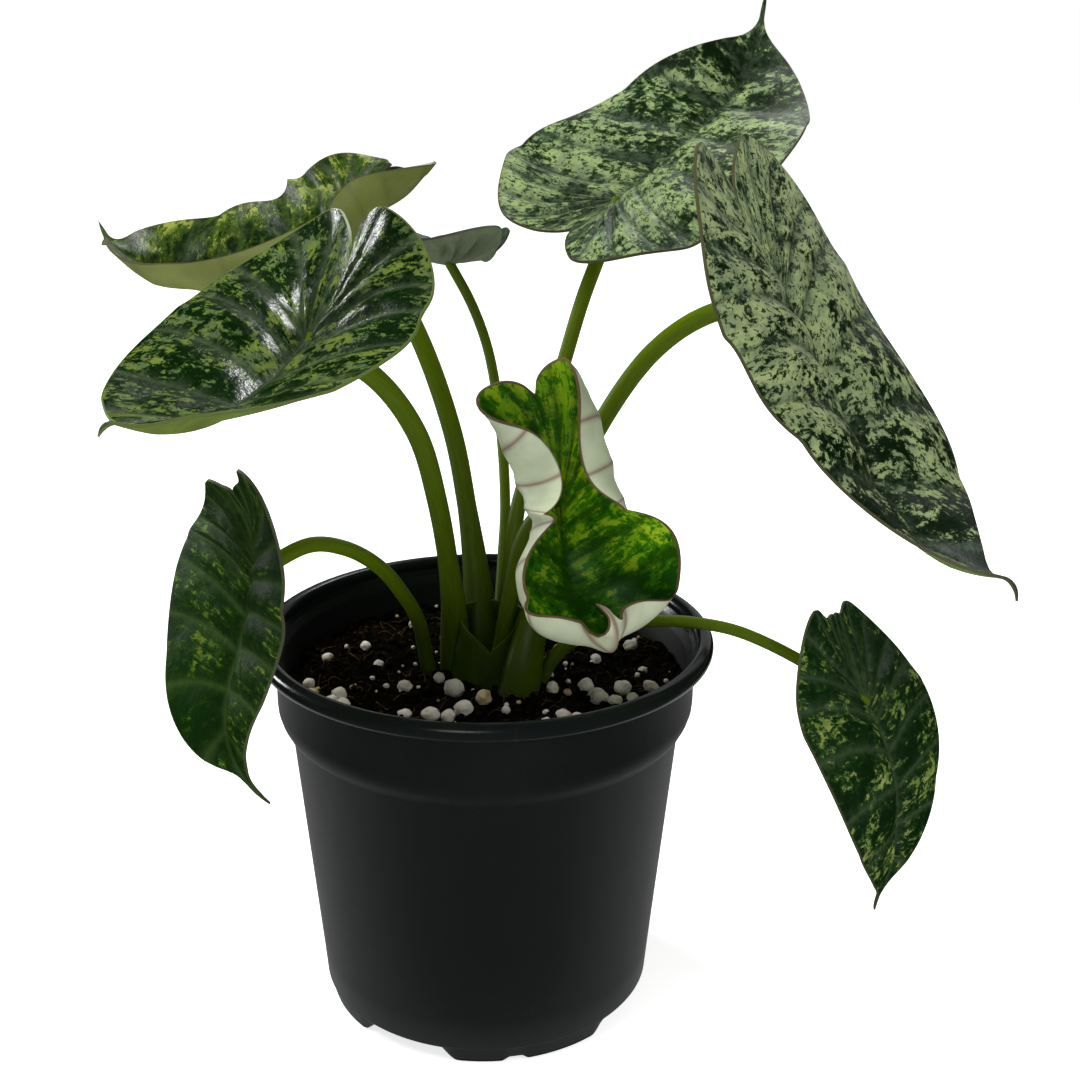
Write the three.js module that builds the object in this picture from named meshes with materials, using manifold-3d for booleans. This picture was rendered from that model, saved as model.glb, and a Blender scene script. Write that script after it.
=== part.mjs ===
// Potted dragon scale alocasia: a black nursery pot of soil with one plant of eight leaves.
// Millimetres, +Z up. The origin lies on the pot's axis, on the surface that it stands on,
// and -Y is the front of the plant. Each leaf is a petiole and a blade with its lobes behind
// the petiole and its tip ahead. The newest leaf, at the front, is still unrolling.
import * as THREE from "three";
import { mergeVertices } from "three/addons/utils/BufferGeometryUtils.js";
import Module from "manifold-3d";

const wasm = await Module();
wasm.setup();

// General
const GAP = 0.3;
const DEGREE = Math.PI / 180;

// Pot
const RIM_RADIUS = 54;
const POT_HEIGHT = 94;
const RIM_BEAD = 2.1;
const BAND_RADIUS = 49.6;
const SHOULDER_RADIUS = 46.5;
const SHOULDER_HEIGHT = 72;
const BASE_RADIUS = 40.9;
const BASE_HEIGHT = 12.4;
const WALL = 1.5;
const FLOOR_RADIUS = 27;
const FLOOR_LIFT = 5.5;
const FOOT_OUTER = 38.8;
const FOOT_INNER = 33.5;
const POT_FACETS = 36;
const FOOT_PERIOD = 90;
const FIRST_GAP = -25.5;
const WIDE_GAP = 31;
const NARROW_GAP = 9.5;
const NARROW_GAP_OFFSET = 44;

// Soil and the corm that it hides
const SOIL_LEVEL = 81.5;
const SOIL_CROWN = 2.5;
const SOIL_RELIEF = 1.3;
const SOIL_RINGS = 7;
const PERLITE_SINK = 0.35;
const CORM_CENTRE = [0, 0, 62];
const CORM_RADII = [16, 15, 12];
const CORM_SIDES = 12;
const CORM_RINGS = 8;
const ROOTS = 6;
const ROOT_REACH = 30;
const ROOT_DROP = 26;
const ROOT_RADIUS = 1.5;

// Blades
const BLADE_THICKNESS = 0.8;
const MIDRIB_DEPTH = 0.7;
const QUILT_HEIGHT = 0.9;
const TAIL_WIDTH = 0.5;
const FLAT_TIP = 0.84;
const LEAN_WIDTH = 2;
const QUILT_START = 4;
const SPAN_STEPS = 6;
const STALK_SIDES = 9;
const PETIOLE_STEPS = 12;
const ROOT_STEPS = 3;
const SHEATH_SHARE = 0.43;
const SHEATH_FLARE = 1.3;

// The side veins of half a blade, from the tip to the cleft between the lobes. Each starts on
// the midrib at a share of the length ahead of the petiole and ends at a place on the outline.
const VEINS = [
  { start: 0.93, end: 0, bow: 0 },
  { start: 0.75, end: 3.5, bow: 0.1 },
  { start: 0.56, end: 4.5, bow: 0.13 },
  { start: 0.38, end: 5.4, bow: 0.14 },
  { start: 0.22, end: 6.3, bow: 0.14 },
  { start: 0.08, end: 7.2, bow: 0.13 },
  { start: 0, end: 8.1, bow: 0.11 },
  { start: 0, end: 9.0, bow: 0.09 },
  { start: 0, end: 10.0, bow: 0.06 },
  { start: 0, end: 11.3, bow: 0.03 },
  { start: 0, end: 13, bow: 0 },
];

// Perlite on the soil: place and diameter
const PERLITE = [
  [-34, -12.5, 4], [-33, -17, 3.4], [-36, -15, 3.2], [-40.5, -10, 3], [-42, -4, 3],
  [-34.5, -20.5, 3], [-30, -23, 2.4], [-19, -8.5, 3.4], [-11, -7.5, 3], [-7.5, -12, 4.6],
  [-0.5, -18.5, 4], [-18.5, -22.5, 3], [-12.5, -24, 3.6], [-8.5, -23.5, 3.8], [-5, -23, 4],
  [4.5, -20.5, 2.4], [15.5, -12.5, 3], [19, -12, 2], [23.5, -9.5, 3.6], [26, -14, 4.4],
  [32, -10.5, 4], [30, -15.5, 3.2], [34, -15, 3], [39, -8.5, 3.6], [43, -12, 3],
  [17.5, -24, 3.4], [20.5, -26, 2.6], [13.5, -28, 3], [-26, 6, 2.6], [-30, 18, 3],
  [-18, 30, 3.4], [-5, 38, 3], [10, 33, 3.6], [24, 27, 3], [36, 15, 3.4], [38, 2, 2.6],
  [-39, 12, 2.6], [-10, 22, 2.8], [18, 12, 3], [27, 8, 2.6],
];

// The leaves, from the innermost of the crown outwards. Angles are in degrees. Bend, swerve and
// twist turn the midrib along its way; fold and curl lift each half of the blade at the ends of
// the lobes, at the petiole, at mid-length and at the tip.
const LEAVES = [
  {
    name: "unfurling",
    attach: [17, -9.7, 125.7],
    heading: -78,
    pitch: -71,
    roll: 30,
    size: { length: 53, halfWidth: 35.5, lobe: 42, cleft: 30, tail: 5 },
    bend: { lobe: -70, base: -33, tip: -121, tail: -83 },
    swerve: { base: -18, tip: -11 },
    twist: { lobe: -12, base: -36, tip: 40 },
    right: { fold: [-14, 64, -9, 81], curl: [327, 73, 140, 120] },
    left: { fold: [-51, 12, -35, 48], curl: [239, 77, 142, 6] },
    petiole: {
      path: [[2, -2.5, 66], [3.5, -4, 89], [6, -6.2, 106], [8.7, -8.2, 119], [12.3, -9.2, 125]],
      baseRadius: 4.6,
      radius: 2,
    },
  },
  {
    name: "back_left",
    attach: [-35, 34.4, 184.5],
    heading: 196,
    pitch: -45,
    roll: -89,
    size: { length: 77.5, halfWidth: 26, lobe: 24, cleft: 18, tail: 11 },
    bend: { lobe: 22, base: 21, tip: 19, tail: -20 },
    swerve: { base: 55, tip: 43 },
    twist: { lobe: -57, base: 52, tip: 29 },
    right: { fold: [-56, -67, 19, 19], curl: [96, 5, -67, 129] },
    left: { fold: [-31, 9, 2, 83], curl: [166, 214, 186, 31] },
    petiole: {
      path: [[0, 3, 66], [-1.9, 8.5, 100.4], [-4.7, 14.4, 121.3], [-8, 19.7, 137.3],
        [-16, 27, 158.8], [-25, 31.5, 174]],
      baseRadius: 6.6,
      radius: 2.3,
    },
  },
  {
    name: "small_back",
    attach: [-9.2, 61.1, 170.7],
    heading: 146,
    pitch: 0,
    roll: 33,
    size: { length: 35.5, halfWidth: 16.5, lobe: 19.5, cleft: 12, tail: 5 },
    bend: { lobe: -51, base: -28, tip: 1, tail: 37 },
    swerve: { base: 22, tip: 12 },
    twist: { lobe: 4, base: -6, tip: 3 },
    right: { fold: [57, 29, 34, 8], curl: [-3, -6, 2, 1] },
    left: { fold: [-3, 8, 14, 16], curl: [14, -26, -10, 0] },
    petiole: {
      path: [[2, 7, 66], [3.2, 11, 86], [4.3, 19.7, 104], [4.9, 28, 117], [3.7, 40, 134.3],
        [0.8, 50.3, 150], [-3.3, 56.2, 160.5]],
      baseRadius: 2.4,
      radius: 1.3,
    },
  },
  {
    name: "top_right",
    attach: [33.1, 44.6, 189],
    heading: 28,
    pitch: 35,
    roll: -7,
    size: { length: 72.5, halfWidth: 38.5, lobe: 24.5, cleft: 15, tail: 12 },
    bend: { lobe: -27, base: 8, tip: -24, tail: 3 },
    swerve: { base: -17, tip: -23 },
    twist: { lobe: -10, base: 10, tip: 45 },
    right: { fold: [-9, 8, -10, 18], curl: [24, -38, 11, -6] },
    left: { fold: [3, 26, 36, 31], curl: [36, -2, -48, 11] },
    petiole: {
      path: [[4, 4, 66], [5.3, 5, 87.4], [6.3, 8.4, 108], [8.2, 14.3, 121.3], [14.4, 22.3, 136.6],
        [19.5, 30.7, 152.3], [23.9, 36.8, 165.5], [27.7, 40.8, 174.9]],
      baseRadius: 3.4,
      radius: 1.8,
    },
  },
  {
    name: "front_left",
    attach: [-37.3, -24.5, 168.2],
    heading: -124,
    pitch: -31,
    roll: -10,
    size: { length: 70.5, halfWidth: 33.5, lobe: 32.5, cleft: 21.5, tail: 5 },
    bend: { lobe: -46, base: -37, tip: -17, tail: 1 },
    swerve: { base: -12, tip: 12 },
    twist: { lobe: -22, base: -5, tip: 9 },
    right: { fold: [-34, 10, -14, 4], curl: [72, -24, 26, -5] },
    left: { fold: [41, 29, 24, 27], curl: [-92, -8, 9, -21] },
    petiole: {
      path: [[-5, 1, 66], [-7.2, 0, 88], [-7.7, -2.5, 102.1], [-10.9, -9.5, 129], [-15.3, -15, 146.8],
        [-24.3, -20.2, 160.5]],
      baseRadius: 5.4,
      radius: 2.3,
    },
  },
  {
    name: "right",
    attach: [63.7, -14.2, 174.8],
    heading: -26,
    pitch: -55,
    roll: 1,
    size: { length: 82.5, halfWidth: 42, lobe: 37, cleft: 24.5, tail: 7 },
    bend: { lobe: -20, base: 0, tip: -54, tail: -15 },
    swerve: { base: 29, tip: 19 },
    twist: { lobe: 9, base: -11, tip: 16 },
    right: { fold: [-5, 23, 6, 3], curl: [11, -43, -38, -6] },
    left: { fold: [1, 14, 44, 29], curl: [21, -20, -48, 6] },
    petiole: {
      path: [[5, -8, 66], [8.3, -10.5, 86], [12.1, -6, 103.4], [18.3, -1.8, 126.5], [26.1, -1.3, 144.2],
        [37.5, -6.2, 162.6], [49, -11.1, 171.8]],
      baseRadius: 6.6,
      radius: 2.1,
    },
  },
  {
    name: "lower_left",
    attach: [-48.1, -34.8, 121.3],
    heading: -154,
    pitch: -78,
    roll: 18,
    size: { length: 47, halfWidth: 26, lobe: 22.5, cleft: 18, tail: 8.5 },
    bend: { lobe: -59, base: -11, tip: 51, tail: 18 },
    swerve: { base: -11, tip: -13 },
    twist: { lobe: 3, base: -20, tip: -24 },
    right: { fold: [12, 39, 24, 52], curl: [23, -9, 7, 8] },
    left: { fold: [-39, 10, 6, 16], curl: [55, -40, -13, -4] },
    petiole: {
      path: [[-9, 1, 64], [-13.4, 0, 82.1], [-15.8, -6.4, 98.7], [-19.5, -11.5, 108.1],
        [-24, -16.6, 115.9], [-30.6, -22.6, 122.2], [-37.6, -27.8, 124.8]],
      baseRadius: 2.1,
      radius: 1.7,
    },
  },
  {
    name: "lower_right",
    attach: [90.7, -7.9, 77.2],
    heading: -46,
    pitch: -50,
    roll: -16,
    size: { length: 58, halfWidth: 27, lobe: 25, cleft: 22, tail: 7.5 },
    bend: { lobe: -20, base: 37, tip: 20, tail: -12 },
    swerve: { base: -20, tip: -14 },
    twist: { lobe: 12, base: -1, tip: 18 },
    right: { fold: [-7, 1, -1, 8], curl: [-8, -29, -30, -3] },
    left: { fold: [1, 25, 24, 17], curl: [22, -29, -23, -2] },
    petiole: {
      path: [[9, -5.5, 64], [12, -7, 80.4], [14.6, -7.1, 87.4], [20.8, -7.1, 93.8], [31.3, -7.3, 97.7],
        [41.8, -7.4, 98.6], [50, -7.5, 98], [59.4, -7.6, 95.8], [74, -7.8, 88.6]],
      baseRadius: 2.4,
      radius: 1.4,
    },
  },
];

const COLOURS = {
  pot: 0x1c1c1d,
  soil: 0x241a12,
  corm: 0x6b5a3c,
  blade: 0x35562c,
  newBlade: 0x4f7a1e,
  petiole: 0x6d8a2a,
};

function material(colour, roughness) {
  return new THREE.MeshStandardMaterial({ color: colour, roughness, metalness: 0 });
}

// Seeded draws between 0 and 1.
function draws(seed) {
  let state = seed;
  return () => {
    state = (state * 1664525 + 1013904223) % 4294967296;
    return state / 4294967296;
  };
}

// Closed geometry to a solid and back.
function toSolid(geometry) {
  const bare = geometry.clone();
  bare.deleteAttribute("normal");
  bare.deleteAttribute("uv");
  const merged = mergeVertices(bare, 1e-4);
  return new wasm.Manifold(
    new wasm.Mesh({
      numProp: 3,
      vertProperties: merged.attributes.position.array,
      triVerts: new Uint32Array(merged.index.array),
    }),
  );
}

function toGeometry(solid) {
  const mesh = solid.getMesh();
  const geometry = new THREE.BufferGeometry();
  geometry.setAttribute("position", new THREE.BufferAttribute(mesh.vertProperties, 3));
  geometry.setIndex(new THREE.BufferAttribute(mesh.triVerts, 1));
  return geometry;
}

// The biggest body of a solid, without the crumbs that a cut leaves.
function biggest(solid) {
  return solid.decompose().reduce((a, b) => (b.volume() > a.volume() ? b : a));
}

function indexed(points, triangles) {
  const geometry = new THREE.BufferGeometry();
  geometry.setAttribute("position", new THREE.Float32BufferAttribute(points.flat(), 3));
  geometry.setIndex(triangles.flat());
  return geometry;
}

function mix(a, b, t) {
  return a + (b - a) * t;
}

function smooth(t) {
  return t * t * (3 - 2 * t);
}

// One coordinate of a Catmull-Rom curve through four values.
function catmull(p0, p1, p2, p3, t) {
  return (
    0.5 *
    (2 * p1 +
      (p2 - p0) * t +
      (2 * p0 - 5 * p1 + 4 * p2 - p3) * t * t +
      (3 * p1 - 3 * p2 + p3 - p0) * t * t * t)
  );
}

// The flat outline of half a blade, from the end of the drip tip round to the cleft.
function outlinePoints({ length, halfWidth, lobe, cleft, tail }) {
  return [
    [0, length + tail],
    [TAIL_WIDTH, length + 0.55 * tail],
    [TAIL_WIDTH + 0.4, length + 0.05 * tail],
    [TAIL_WIDTH + 0.09 * halfWidth, 0.93 * length],
    [0.4 * halfWidth, 0.74 * length],
    [0.78 * halfWidth, 0.45 * length],
    [0.97 * halfWidth, 0.18 * length],
    [halfWidth, -0.05 * length],
    [0.93 * halfWidth, -0.45 * lobe],
    [0.72 * halfWidth, -0.82 * lobe],
    [0.46 * halfWidth, -lobe],
    [0.22 * halfWidth, -0.9 * lobe],
    [0.07 * halfWidth, -(cleft + 0.35 * (lobe - cleft))],
    [0, -cleft],
  ];
}

function outlineAt(points, place) {
  const last = points.length - 1;
  const i = Math.min(Math.floor(place), last - 1);
  const t = place - i;
  const value = (k) => {
    const before = i > 0 ? points[i - 1][k] : 2 * points[0][k] - points[1][k];
    const after = i + 2 <= last ? points[i + 2][k] : 2 * points[last][k] - points[last - 1][k];
    return catmull(before, points[i][k], points[i + 1][k], after, t);
  };
  return [value(0), value(1)];
}

// A point of the flat half blade: along a side vein by span (0 at the midrib, 1 at the margin),
// at a vein number that may lie between two veins.
function flatPoint(leaf, outline, vein, span) {
  const i = Math.min(Math.floor(vein), VEINS.length - 2);
  const t = vein - i;
  const value = (key) => mix(VEINS[i][key], VEINS[i + 1][key], t);
  const startY = value("start") * leaf.size.length;
  const [endX, endY] = outlineAt(outline, value("end"));
  const bow = value("bow");
  const middleX = endX / 2 + bow * (endY - startY);
  const middleY = (startY + endY) / 2 - bow * endX;
  const a = (1 - span) * (1 - span);
  const b = 2 * span * (1 - span);
  const c = span * span;
  return [b * Math.max(middleX, 0) + c * endX, a * startY + b * middleY + c * endY];
}

// The midrib as a chain of frames: place, forward, up and right axes.
function midribFrames(leaf) {
  const { size, bend, swerve, twist } = leaf;
  const heading = leaf.heading * DEGREE;
  const pitch = leaf.pitch * DEGREE;
  const forward = new THREE.Vector3(
    Math.cos(pitch) * Math.cos(heading),
    Math.cos(pitch) * Math.sin(heading),
    Math.sin(pitch),
  );
  const up = new THREE.Vector3(
    -Math.sin(pitch) * Math.cos(heading),
    -Math.sin(pitch) * Math.sin(heading),
    Math.cos(pitch),
  );
  up.applyAxisAngle(forward, leaf.roll * DEGREE);
  const start = {
    y: 0,
    place: new THREE.Vector3(...leaf.attach),
    forward,
    up,
    right: forward.clone().cross(up),
  };
  const turned = (frame, bendBy, swerveBy, twistBy) => {
    const next = { forward: frame.forward.clone(), up: frame.up.clone(), right: frame.right.clone() };
    const turn = (axis, angle) => {
      const fixed = axis.clone();
      [next.forward, next.up, next.right].forEach((v) => v.applyAxisAngle(fixed, angle));
    };
    turn(next.forward, twistBy);
    turn(frame.up, -swerveBy);
    turn(frame.right, -bendBy);
    return next;
  };
  const walk = (from, length, steps, bendAngle, swerveAngle, twistAngle) => {
    const frames = [];
    let frame = from;
    const step = length / steps;
    const share = (DEGREE / steps) * Math.sign(length);
    for (let i = 0; i < steps; i++) {
      const [b, s, t] = [bendAngle * share, swerveAngle * share, twistAngle * share];
      const half = turned(frame, b / 2, s / 2, 0);
      const place = frame.place.clone().addScaledVector(half.forward, step);
      frame = { y: frame.y + step, place, ...turned(frame, b, s, t) };
      frames.push(frame);
    }
    return frames;
  };
  const base = walk(start, size.length / 2, 14, bend.base, swerve.base, twist.base);
  const tip = walk(base.at(-1), size.length / 2, 14, bend.tip, swerve.tip, twist.tip);
  const tail = walk(tip.at(-1), size.tail, 6, bend.tail, 0, 0);
  const lobe = walk(start, -size.lobe, 14, bend.lobe, 0, twist.lobe);
  return [...lobe.reverse(), start, ...base, ...tip, ...tail];
}

function frameAt(frames, y) {
  let i = 0;
  while (i < frames.length - 2 && frames[i + 1].y < y) i++;
  const [a, b] = [frames[i], frames[i + 1]];
  const t = Math.min(1, Math.max(0, (y - a.y) / (b.y - a.y)));
  const between = (key) => a[key].clone().lerp(b[key], t);
  return { place: between("place"), up: between("up"), right: between("right") };
}

// Fold or curl of one half at a place along the midrib. Both fade out towards the tip.
function alongBlade(values, size, y) {
  const keys = [-size.lobe, 0, size.length / 2, size.length];
  let i = 0;
  while (i < 2 && y > keys[i + 1]) i++;
  const t = Math.min(1, Math.max(0, (y - keys[i]) / (keys[i + 1] - keys[i])));
  const flattened = smooth(Math.min(1, Math.max(0, (y / size.length - FLAT_TIP) / (1 - FLAT_TIP))));
  return mix(values[i], values[i + 1], smooth(t)) * (1 - flattened);
}

// The flat point (x, y) of one half, lifted into its folded and curled place, with a height
// along the blade's own upward normal. side is 1 on the right half and -1 on the left.
function liftedPoint(leaf, frames, x, y, side, height) {
  const half = side > 0 ? leaf.right : leaf.left;
  const { halfWidth } = leaf.size;
  const { place, up, right } = frameAt(frames, y);
  if (x < 1e-6) return place.addScaledVector(up, height);
  const fold = alongBlade(half.fold, leaf.size, y) * DEGREE;
  let curl = alongBlade(half.curl, leaf.size, y) * DEGREE;
  if (Math.abs(curl) < 1e-3) curl = 1e-3;
  const angle = fold + (curl * x) / halfWidth;
  const lean = angle * Math.min(1, x / LEAN_WIDTH);
  const out = ((Math.sin(angle) - Math.sin(fold)) * halfWidth) / curl - Math.sin(lean) * height;
  const rise = (-(Math.cos(angle) - Math.cos(fold)) * halfWidth) / curl + Math.cos(lean) * height;
  return place.addScaledVector(right, side * out).addScaledVector(up, rise);
}

// The blade bulges between its side veins, except close to the midrib.
function quilt(vein, span, x) {
  const across = Math.sin(Math.PI * vein) ** 2;
  const along = Math.max(0, Math.sin(Math.PI * Math.min(1, 0.08 + span * 0.92))) ** 0.8;
  const crowding = Math.min(1, (VEINS.length - 1 - vein) / 2) * smooth(Math.min(1, x / QUILT_START));
  return QUILT_HEIGHT * across * along * crowding;
}

// The midrib stands out under the blade, and thins out towards the tip and behind the petiole.
function keelDepth(leaf, y) {
  const share = y < 0 ? 1 + y / 3 : (leaf.size.length - y) / 12;
  return MIDRIB_DEPTH * Math.max(0, Math.min(1, share));
}

// A blade as one closed sheet: the top and bottom faces have the same triangles, and a rim
// joins them along the margin. extra thickens it on both faces.
function bladeGeometry(leaf, extra = 0) {
  const frames = midribFrames(leaf);
  const outline = outlinePoints(leaf.size);
  const points = [];
  const triangles = [];
  const known = new Map();
  const half = BLADE_THICKNESS / 2 + extra;
  const vertex = (face, side, vein, span) => {
    const [x, y] = flatPoint(leaf, outline, vein, span);
    const shared = x < 1e-6;
    const key = [face, shared ? 0 : side, x.toFixed(4), y.toFixed(4)].join(" ");
    if (!known.has(key)) {
      const keel = shared && face < 0 ? keelDepth(leaf, y) : 0;
      const height = face * half + (shared ? 0 : quilt(vein, span, x)) - keel;
      known.set(key, points.length);
      points.push(liftedPoint(leaf, frames, x, y, side, height).toArray());
    }
    return known.get(key);
  };
  const add = (flip, a, b, c) => {
    if (a === b || b === c || c === a) return;
    triangles.push(flip ? [a, c, b] : [a, b, c]);
  };
  const rows = 2 * (VEINS.length - 1);
  for (const side of [1, -1]) {
    for (let row = 0; row < rows; row++) {
      const [v0, v1] = [row / 2, (row + 1) / 2];
      for (let column = 0; column < SPAN_STEPS; column++) {
        const [s0, s1] = [column / SPAN_STEPS, (column + 1) / SPAN_STEPS];
        for (const face of [1, -1]) {
          const a = vertex(face, side, v0, s0);
          const b = vertex(face, side, v1, s0);
          const c = vertex(face, side, v1, s1);
          const d = vertex(face, side, v0, s1);
          add(side * face < 0, a, b, c);
          add(side * face < 0, a, c, d);
        }
      }
      const [top0, top1] = [vertex(1, side, v0, 1), vertex(1, side, v1, 1)];
      const [under0, under1] = [vertex(-1, side, v0, 1), vertex(-1, side, v1, 1)];
      add(side < 0, top0, top1, under1);
      add(side < 0, top0, under1, under0);
    }
  }
  return indexed(points, triangles);
}

// A tapered stalk along a smooth path, thicker at its base where its sheath meets the crown.
function stalkGeometry({ path, baseRadius, radius }, steps, extra = 0) {
  const curve = new THREE.CatmullRomCurve3(path.map((p) => new THREE.Vector3(...p)), false, "centripetal");
  const points = [];
  const triangles = [];
  let across = new THREE.Vector3(1, 0, 0);
  for (let i = 0; i <= steps; i++) {
    const t = i / steps;
    const centre = curve.getPointAt(t);
    const tangent = curve.getTangentAt(t);
    across = across.clone().addScaledVector(tangent, -across.dot(tangent)).normalize();
    const over = tangent.clone().cross(across);
    const r = mix(radius, baseRadius, Math.max(0, 1 - t / SHEATH_SHARE) ** SHEATH_FLARE) + extra;
    if (i === 0) points.push(centre.addScaledVector(tangent, -extra).toArray());
    if (i === steps) centre.addScaledVector(tangent, extra);
    for (let k = 0; k < STALK_SIDES; k++) {
      const angle = (2 * Math.PI * k) / STALK_SIDES;
      const p = centre.clone();
      p.addScaledVector(across, r * Math.cos(angle)).addScaledVector(over, r * Math.sin(angle));
      points.push(p.toArray());
    }
    if (i === steps) points.push(centre.toArray());
  }
  const ring = (i, k) => 1 + i * STALK_SIDES + (k % STALK_SIDES);
  const last = points.length - 1;
  for (let k = 0; k < STALK_SIDES; k++) {
    triangles.push([0, ring(0, k + 1), ring(0, k)]);
    triangles.push([last, ring(steps, k), ring(steps, k + 1)]);
    for (let i = 0; i < steps; i++) {
      triangles.push([ring(i, k), ring(i, k + 1), ring(i + 1, k + 1)]);
      triangles.push([ring(i, k), ring(i + 1, k + 1), ring(i + 1, k)]);
    }
  }
  return indexed(points, triangles);
}

function petioleSolid(leaf, extra = 0) {
  const { path, baseRadius, radius } = leaf.petiole;
  const whole = { path: [...path, leaf.attach], baseRadius, radius };
  return toSolid(stalkGeometry(whole, PETIOLE_STEPS, extra));
}

// A turned solid from a profile of [radius, height] that starts and ends on the axis.
function turned(profile, facets) {
  const lathe = new THREE.LatheGeometry(profile.map(([r, z]) => new THREE.Vector2(r, z)), facets);
  return lathe.rotateX(Math.PI / 2);
}

// The inner wall of the pot at a height.
function innerRadius(z) {
  if (z >= SHOULDER_HEIGHT + 6) return BAND_RADIUS - WALL;
  const outer = mix(BASE_RADIUS, SHOULDER_RADIUS, (z - BASE_HEIGHT) / (SHOULDER_HEIGHT - BASE_HEIGHT));
  if (z <= SHOULDER_HEIGHT) return outer - WALL;
  return mix(SHOULDER_RADIUS, BAND_RADIUS, (z - SHOULDER_HEIGHT) / 6) - WALL;
}

// A wedge round the axis, for cutting gaps into the foot ring.
function footGap(from, width) {
  const shape = new THREE.Shape();
  const outer = FOOT_OUTER + 3;
  const inner = FOOT_INNER - 2;
  shape.absarc(0, 0, outer, from * DEGREE, (from + width) * DEGREE, false);
  shape.absarc(0, 0, inner, (from + width) * DEGREE, from * DEGREE, true);
  shape.closePath();
  const wedge = new THREE.ExtrudeGeometry(shape, { depth: 6, bevelEnabled: false, curveSegments: 4 });
  return toSolid(wedge.translate(0, 0, FLOOR_LIFT - 6));
}

function potSolid() {
  const beadCentre = RIM_RADIUS - RIM_BEAD;
  const beadHeight = POT_HEIGHT - RIM_BEAD;
  const bead = [-60, -20, 20, 60, 100, 140, 180].map((angle) => [
    beadCentre + RIM_BEAD * Math.cos(angle * DEGREE),
    beadHeight + RIM_BEAD * Math.sin(angle * DEGREE),
  ]);
  const floorTop = FLOOR_LIFT + WALL;
  const profile = [
    [0, 0],
    [FLOOR_RADIUS, 0],
    [FLOOR_RADIUS + 1.5, FLOOR_LIFT],
    [FOOT_INNER - 0.5, FLOOR_LIFT],
    [FOOT_INNER, 0],
    [FOOT_OUTER, 0],
    [BASE_RADIUS - 0.6, 6],
    [BASE_RADIUS, BASE_HEIGHT],
    [SHOULDER_RADIUS, SHOULDER_HEIGHT],
    [BAND_RADIUS - 0.6, SHOULDER_HEIGHT + 3],
    [BAND_RADIUS, SHOULDER_HEIGHT + 6],
    [BAND_RADIUS, beadHeight - RIM_BEAD],
    ...bead,
    [BAND_RADIUS - WALL, beadHeight - 4],
    [BAND_RADIUS - WALL, SHOULDER_HEIGHT + 6],
    [SHOULDER_RADIUS - WALL, SHOULDER_HEIGHT],
    [BASE_RADIUS - WALL, BASE_HEIGHT],
    [BASE_RADIUS - WALL - 1.5, floorTop + 2],
    [BASE_RADIUS - WALL - 4, floorTop],
    [FLOOR_RADIUS, floorTop],
    [FLOOR_RADIUS - WALL, WALL],
    [0, WALL],
  ];
  let pot = toSolid(turned(profile, POT_FACETS));
  for (let quarter = 0; quarter < 4; quarter++) {
    const from = FIRST_GAP - WIDE_GAP / 2 + quarter * FOOT_PERIOD;
    pot = pot.subtract(footGap(from, WIDE_GAP));
    pot = pot.subtract(footGap(from + WIDE_GAP / 2 + NARROW_GAP_OFFSET, NARROW_GAP));
  }
  return pot;
}

// Height of the bumpy soil: two crossed ripples and a slight mound under the crown.
function soilHeight(x, y) {
  const ripple = Math.sin(x * 0.31 + y * 0.17) + Math.sin(x * 0.13 - y * 0.37 + 1.3);
  const fine = Math.sin(x * 0.71 + 2 * Math.sin(y * 0.23)) * Math.sin(y * 0.63 + 0.7);
  const mound = SOIL_CROWN * Math.exp(-(x * x + y * y) / 350);
  return SOIL_LEVEL + mound + SOIL_RELIEF * (0.35 * ripple + 0.5 * fine);
}

function soilSolid() {
  const points = [];
  const triangles = [];
  const ringRadius = innerRadius(SOIL_LEVEL) - GAP;
  points.push([0, 0, soilHeight(0, 0)]);
  for (let ring = 1; ring <= SOIL_RINGS; ring++) {
    const r = (ringRadius * ring) / SOIL_RINGS;
    for (let k = 0; k < POT_FACETS; k++) {
      const angle = (2 * Math.PI * k) / POT_FACETS;
      const [x, y] = [r * Math.cos(angle), r * Math.sin(angle)];
      points.push([x, y, soilHeight(x, y)]);
    }
  }
  const sides = [
    [innerRadius(SHOULDER_HEIGHT + 6) - 1.3 * GAP, SHOULDER_HEIGHT + 6],
    [innerRadius(SHOULDER_HEIGHT) - 1.3 * GAP, SHOULDER_HEIGHT],
    [BASE_RADIUS - WALL - 1.3 * GAP, BASE_HEIGHT],
    [BASE_RADIUS - WALL - 4.2, FLOOR_LIFT + WALL + GAP],
    [FLOOR_RADIUS - 1.3 * GAP, FLOOR_LIFT + WALL + GAP],
    [FLOOR_RADIUS - WALL - 1.3 * GAP, WALL + GAP],
  ];
  for (const [r, z] of sides) {
    for (let k = 0; k < POT_FACETS; k++) {
      const angle = (2 * Math.PI * k) / POT_FACETS;
      points.push([r * Math.cos(angle), r * Math.sin(angle), z]);
    }
  }
  points.push([0, 0, WALL + GAP]);
  const vertex = (ring, k) => (ring === 0 ? 0 : 1 + (ring - 1) * POT_FACETS + (k % POT_FACETS));
  const rings = SOIL_RINGS + sides.length;
  const bottom = points.length - 1;
  for (let k = 0; k < POT_FACETS; k++) {
    triangles.push([0, vertex(1, k), vertex(1, k + 1)]);
    triangles.push([bottom, vertex(rings, k + 1), vertex(rings, k)]);
    for (let ring = 1; ring < rings; ring++) {
      triangles.push([vertex(ring, k), vertex(ring + 1, k), vertex(ring + 1, k + 1)]);
      triangles.push([vertex(ring, k), vertex(ring + 1, k + 1), vertex(ring, k + 1)]);
    }
  }
  return toSolid(indexed(points, triangles));
}

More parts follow.
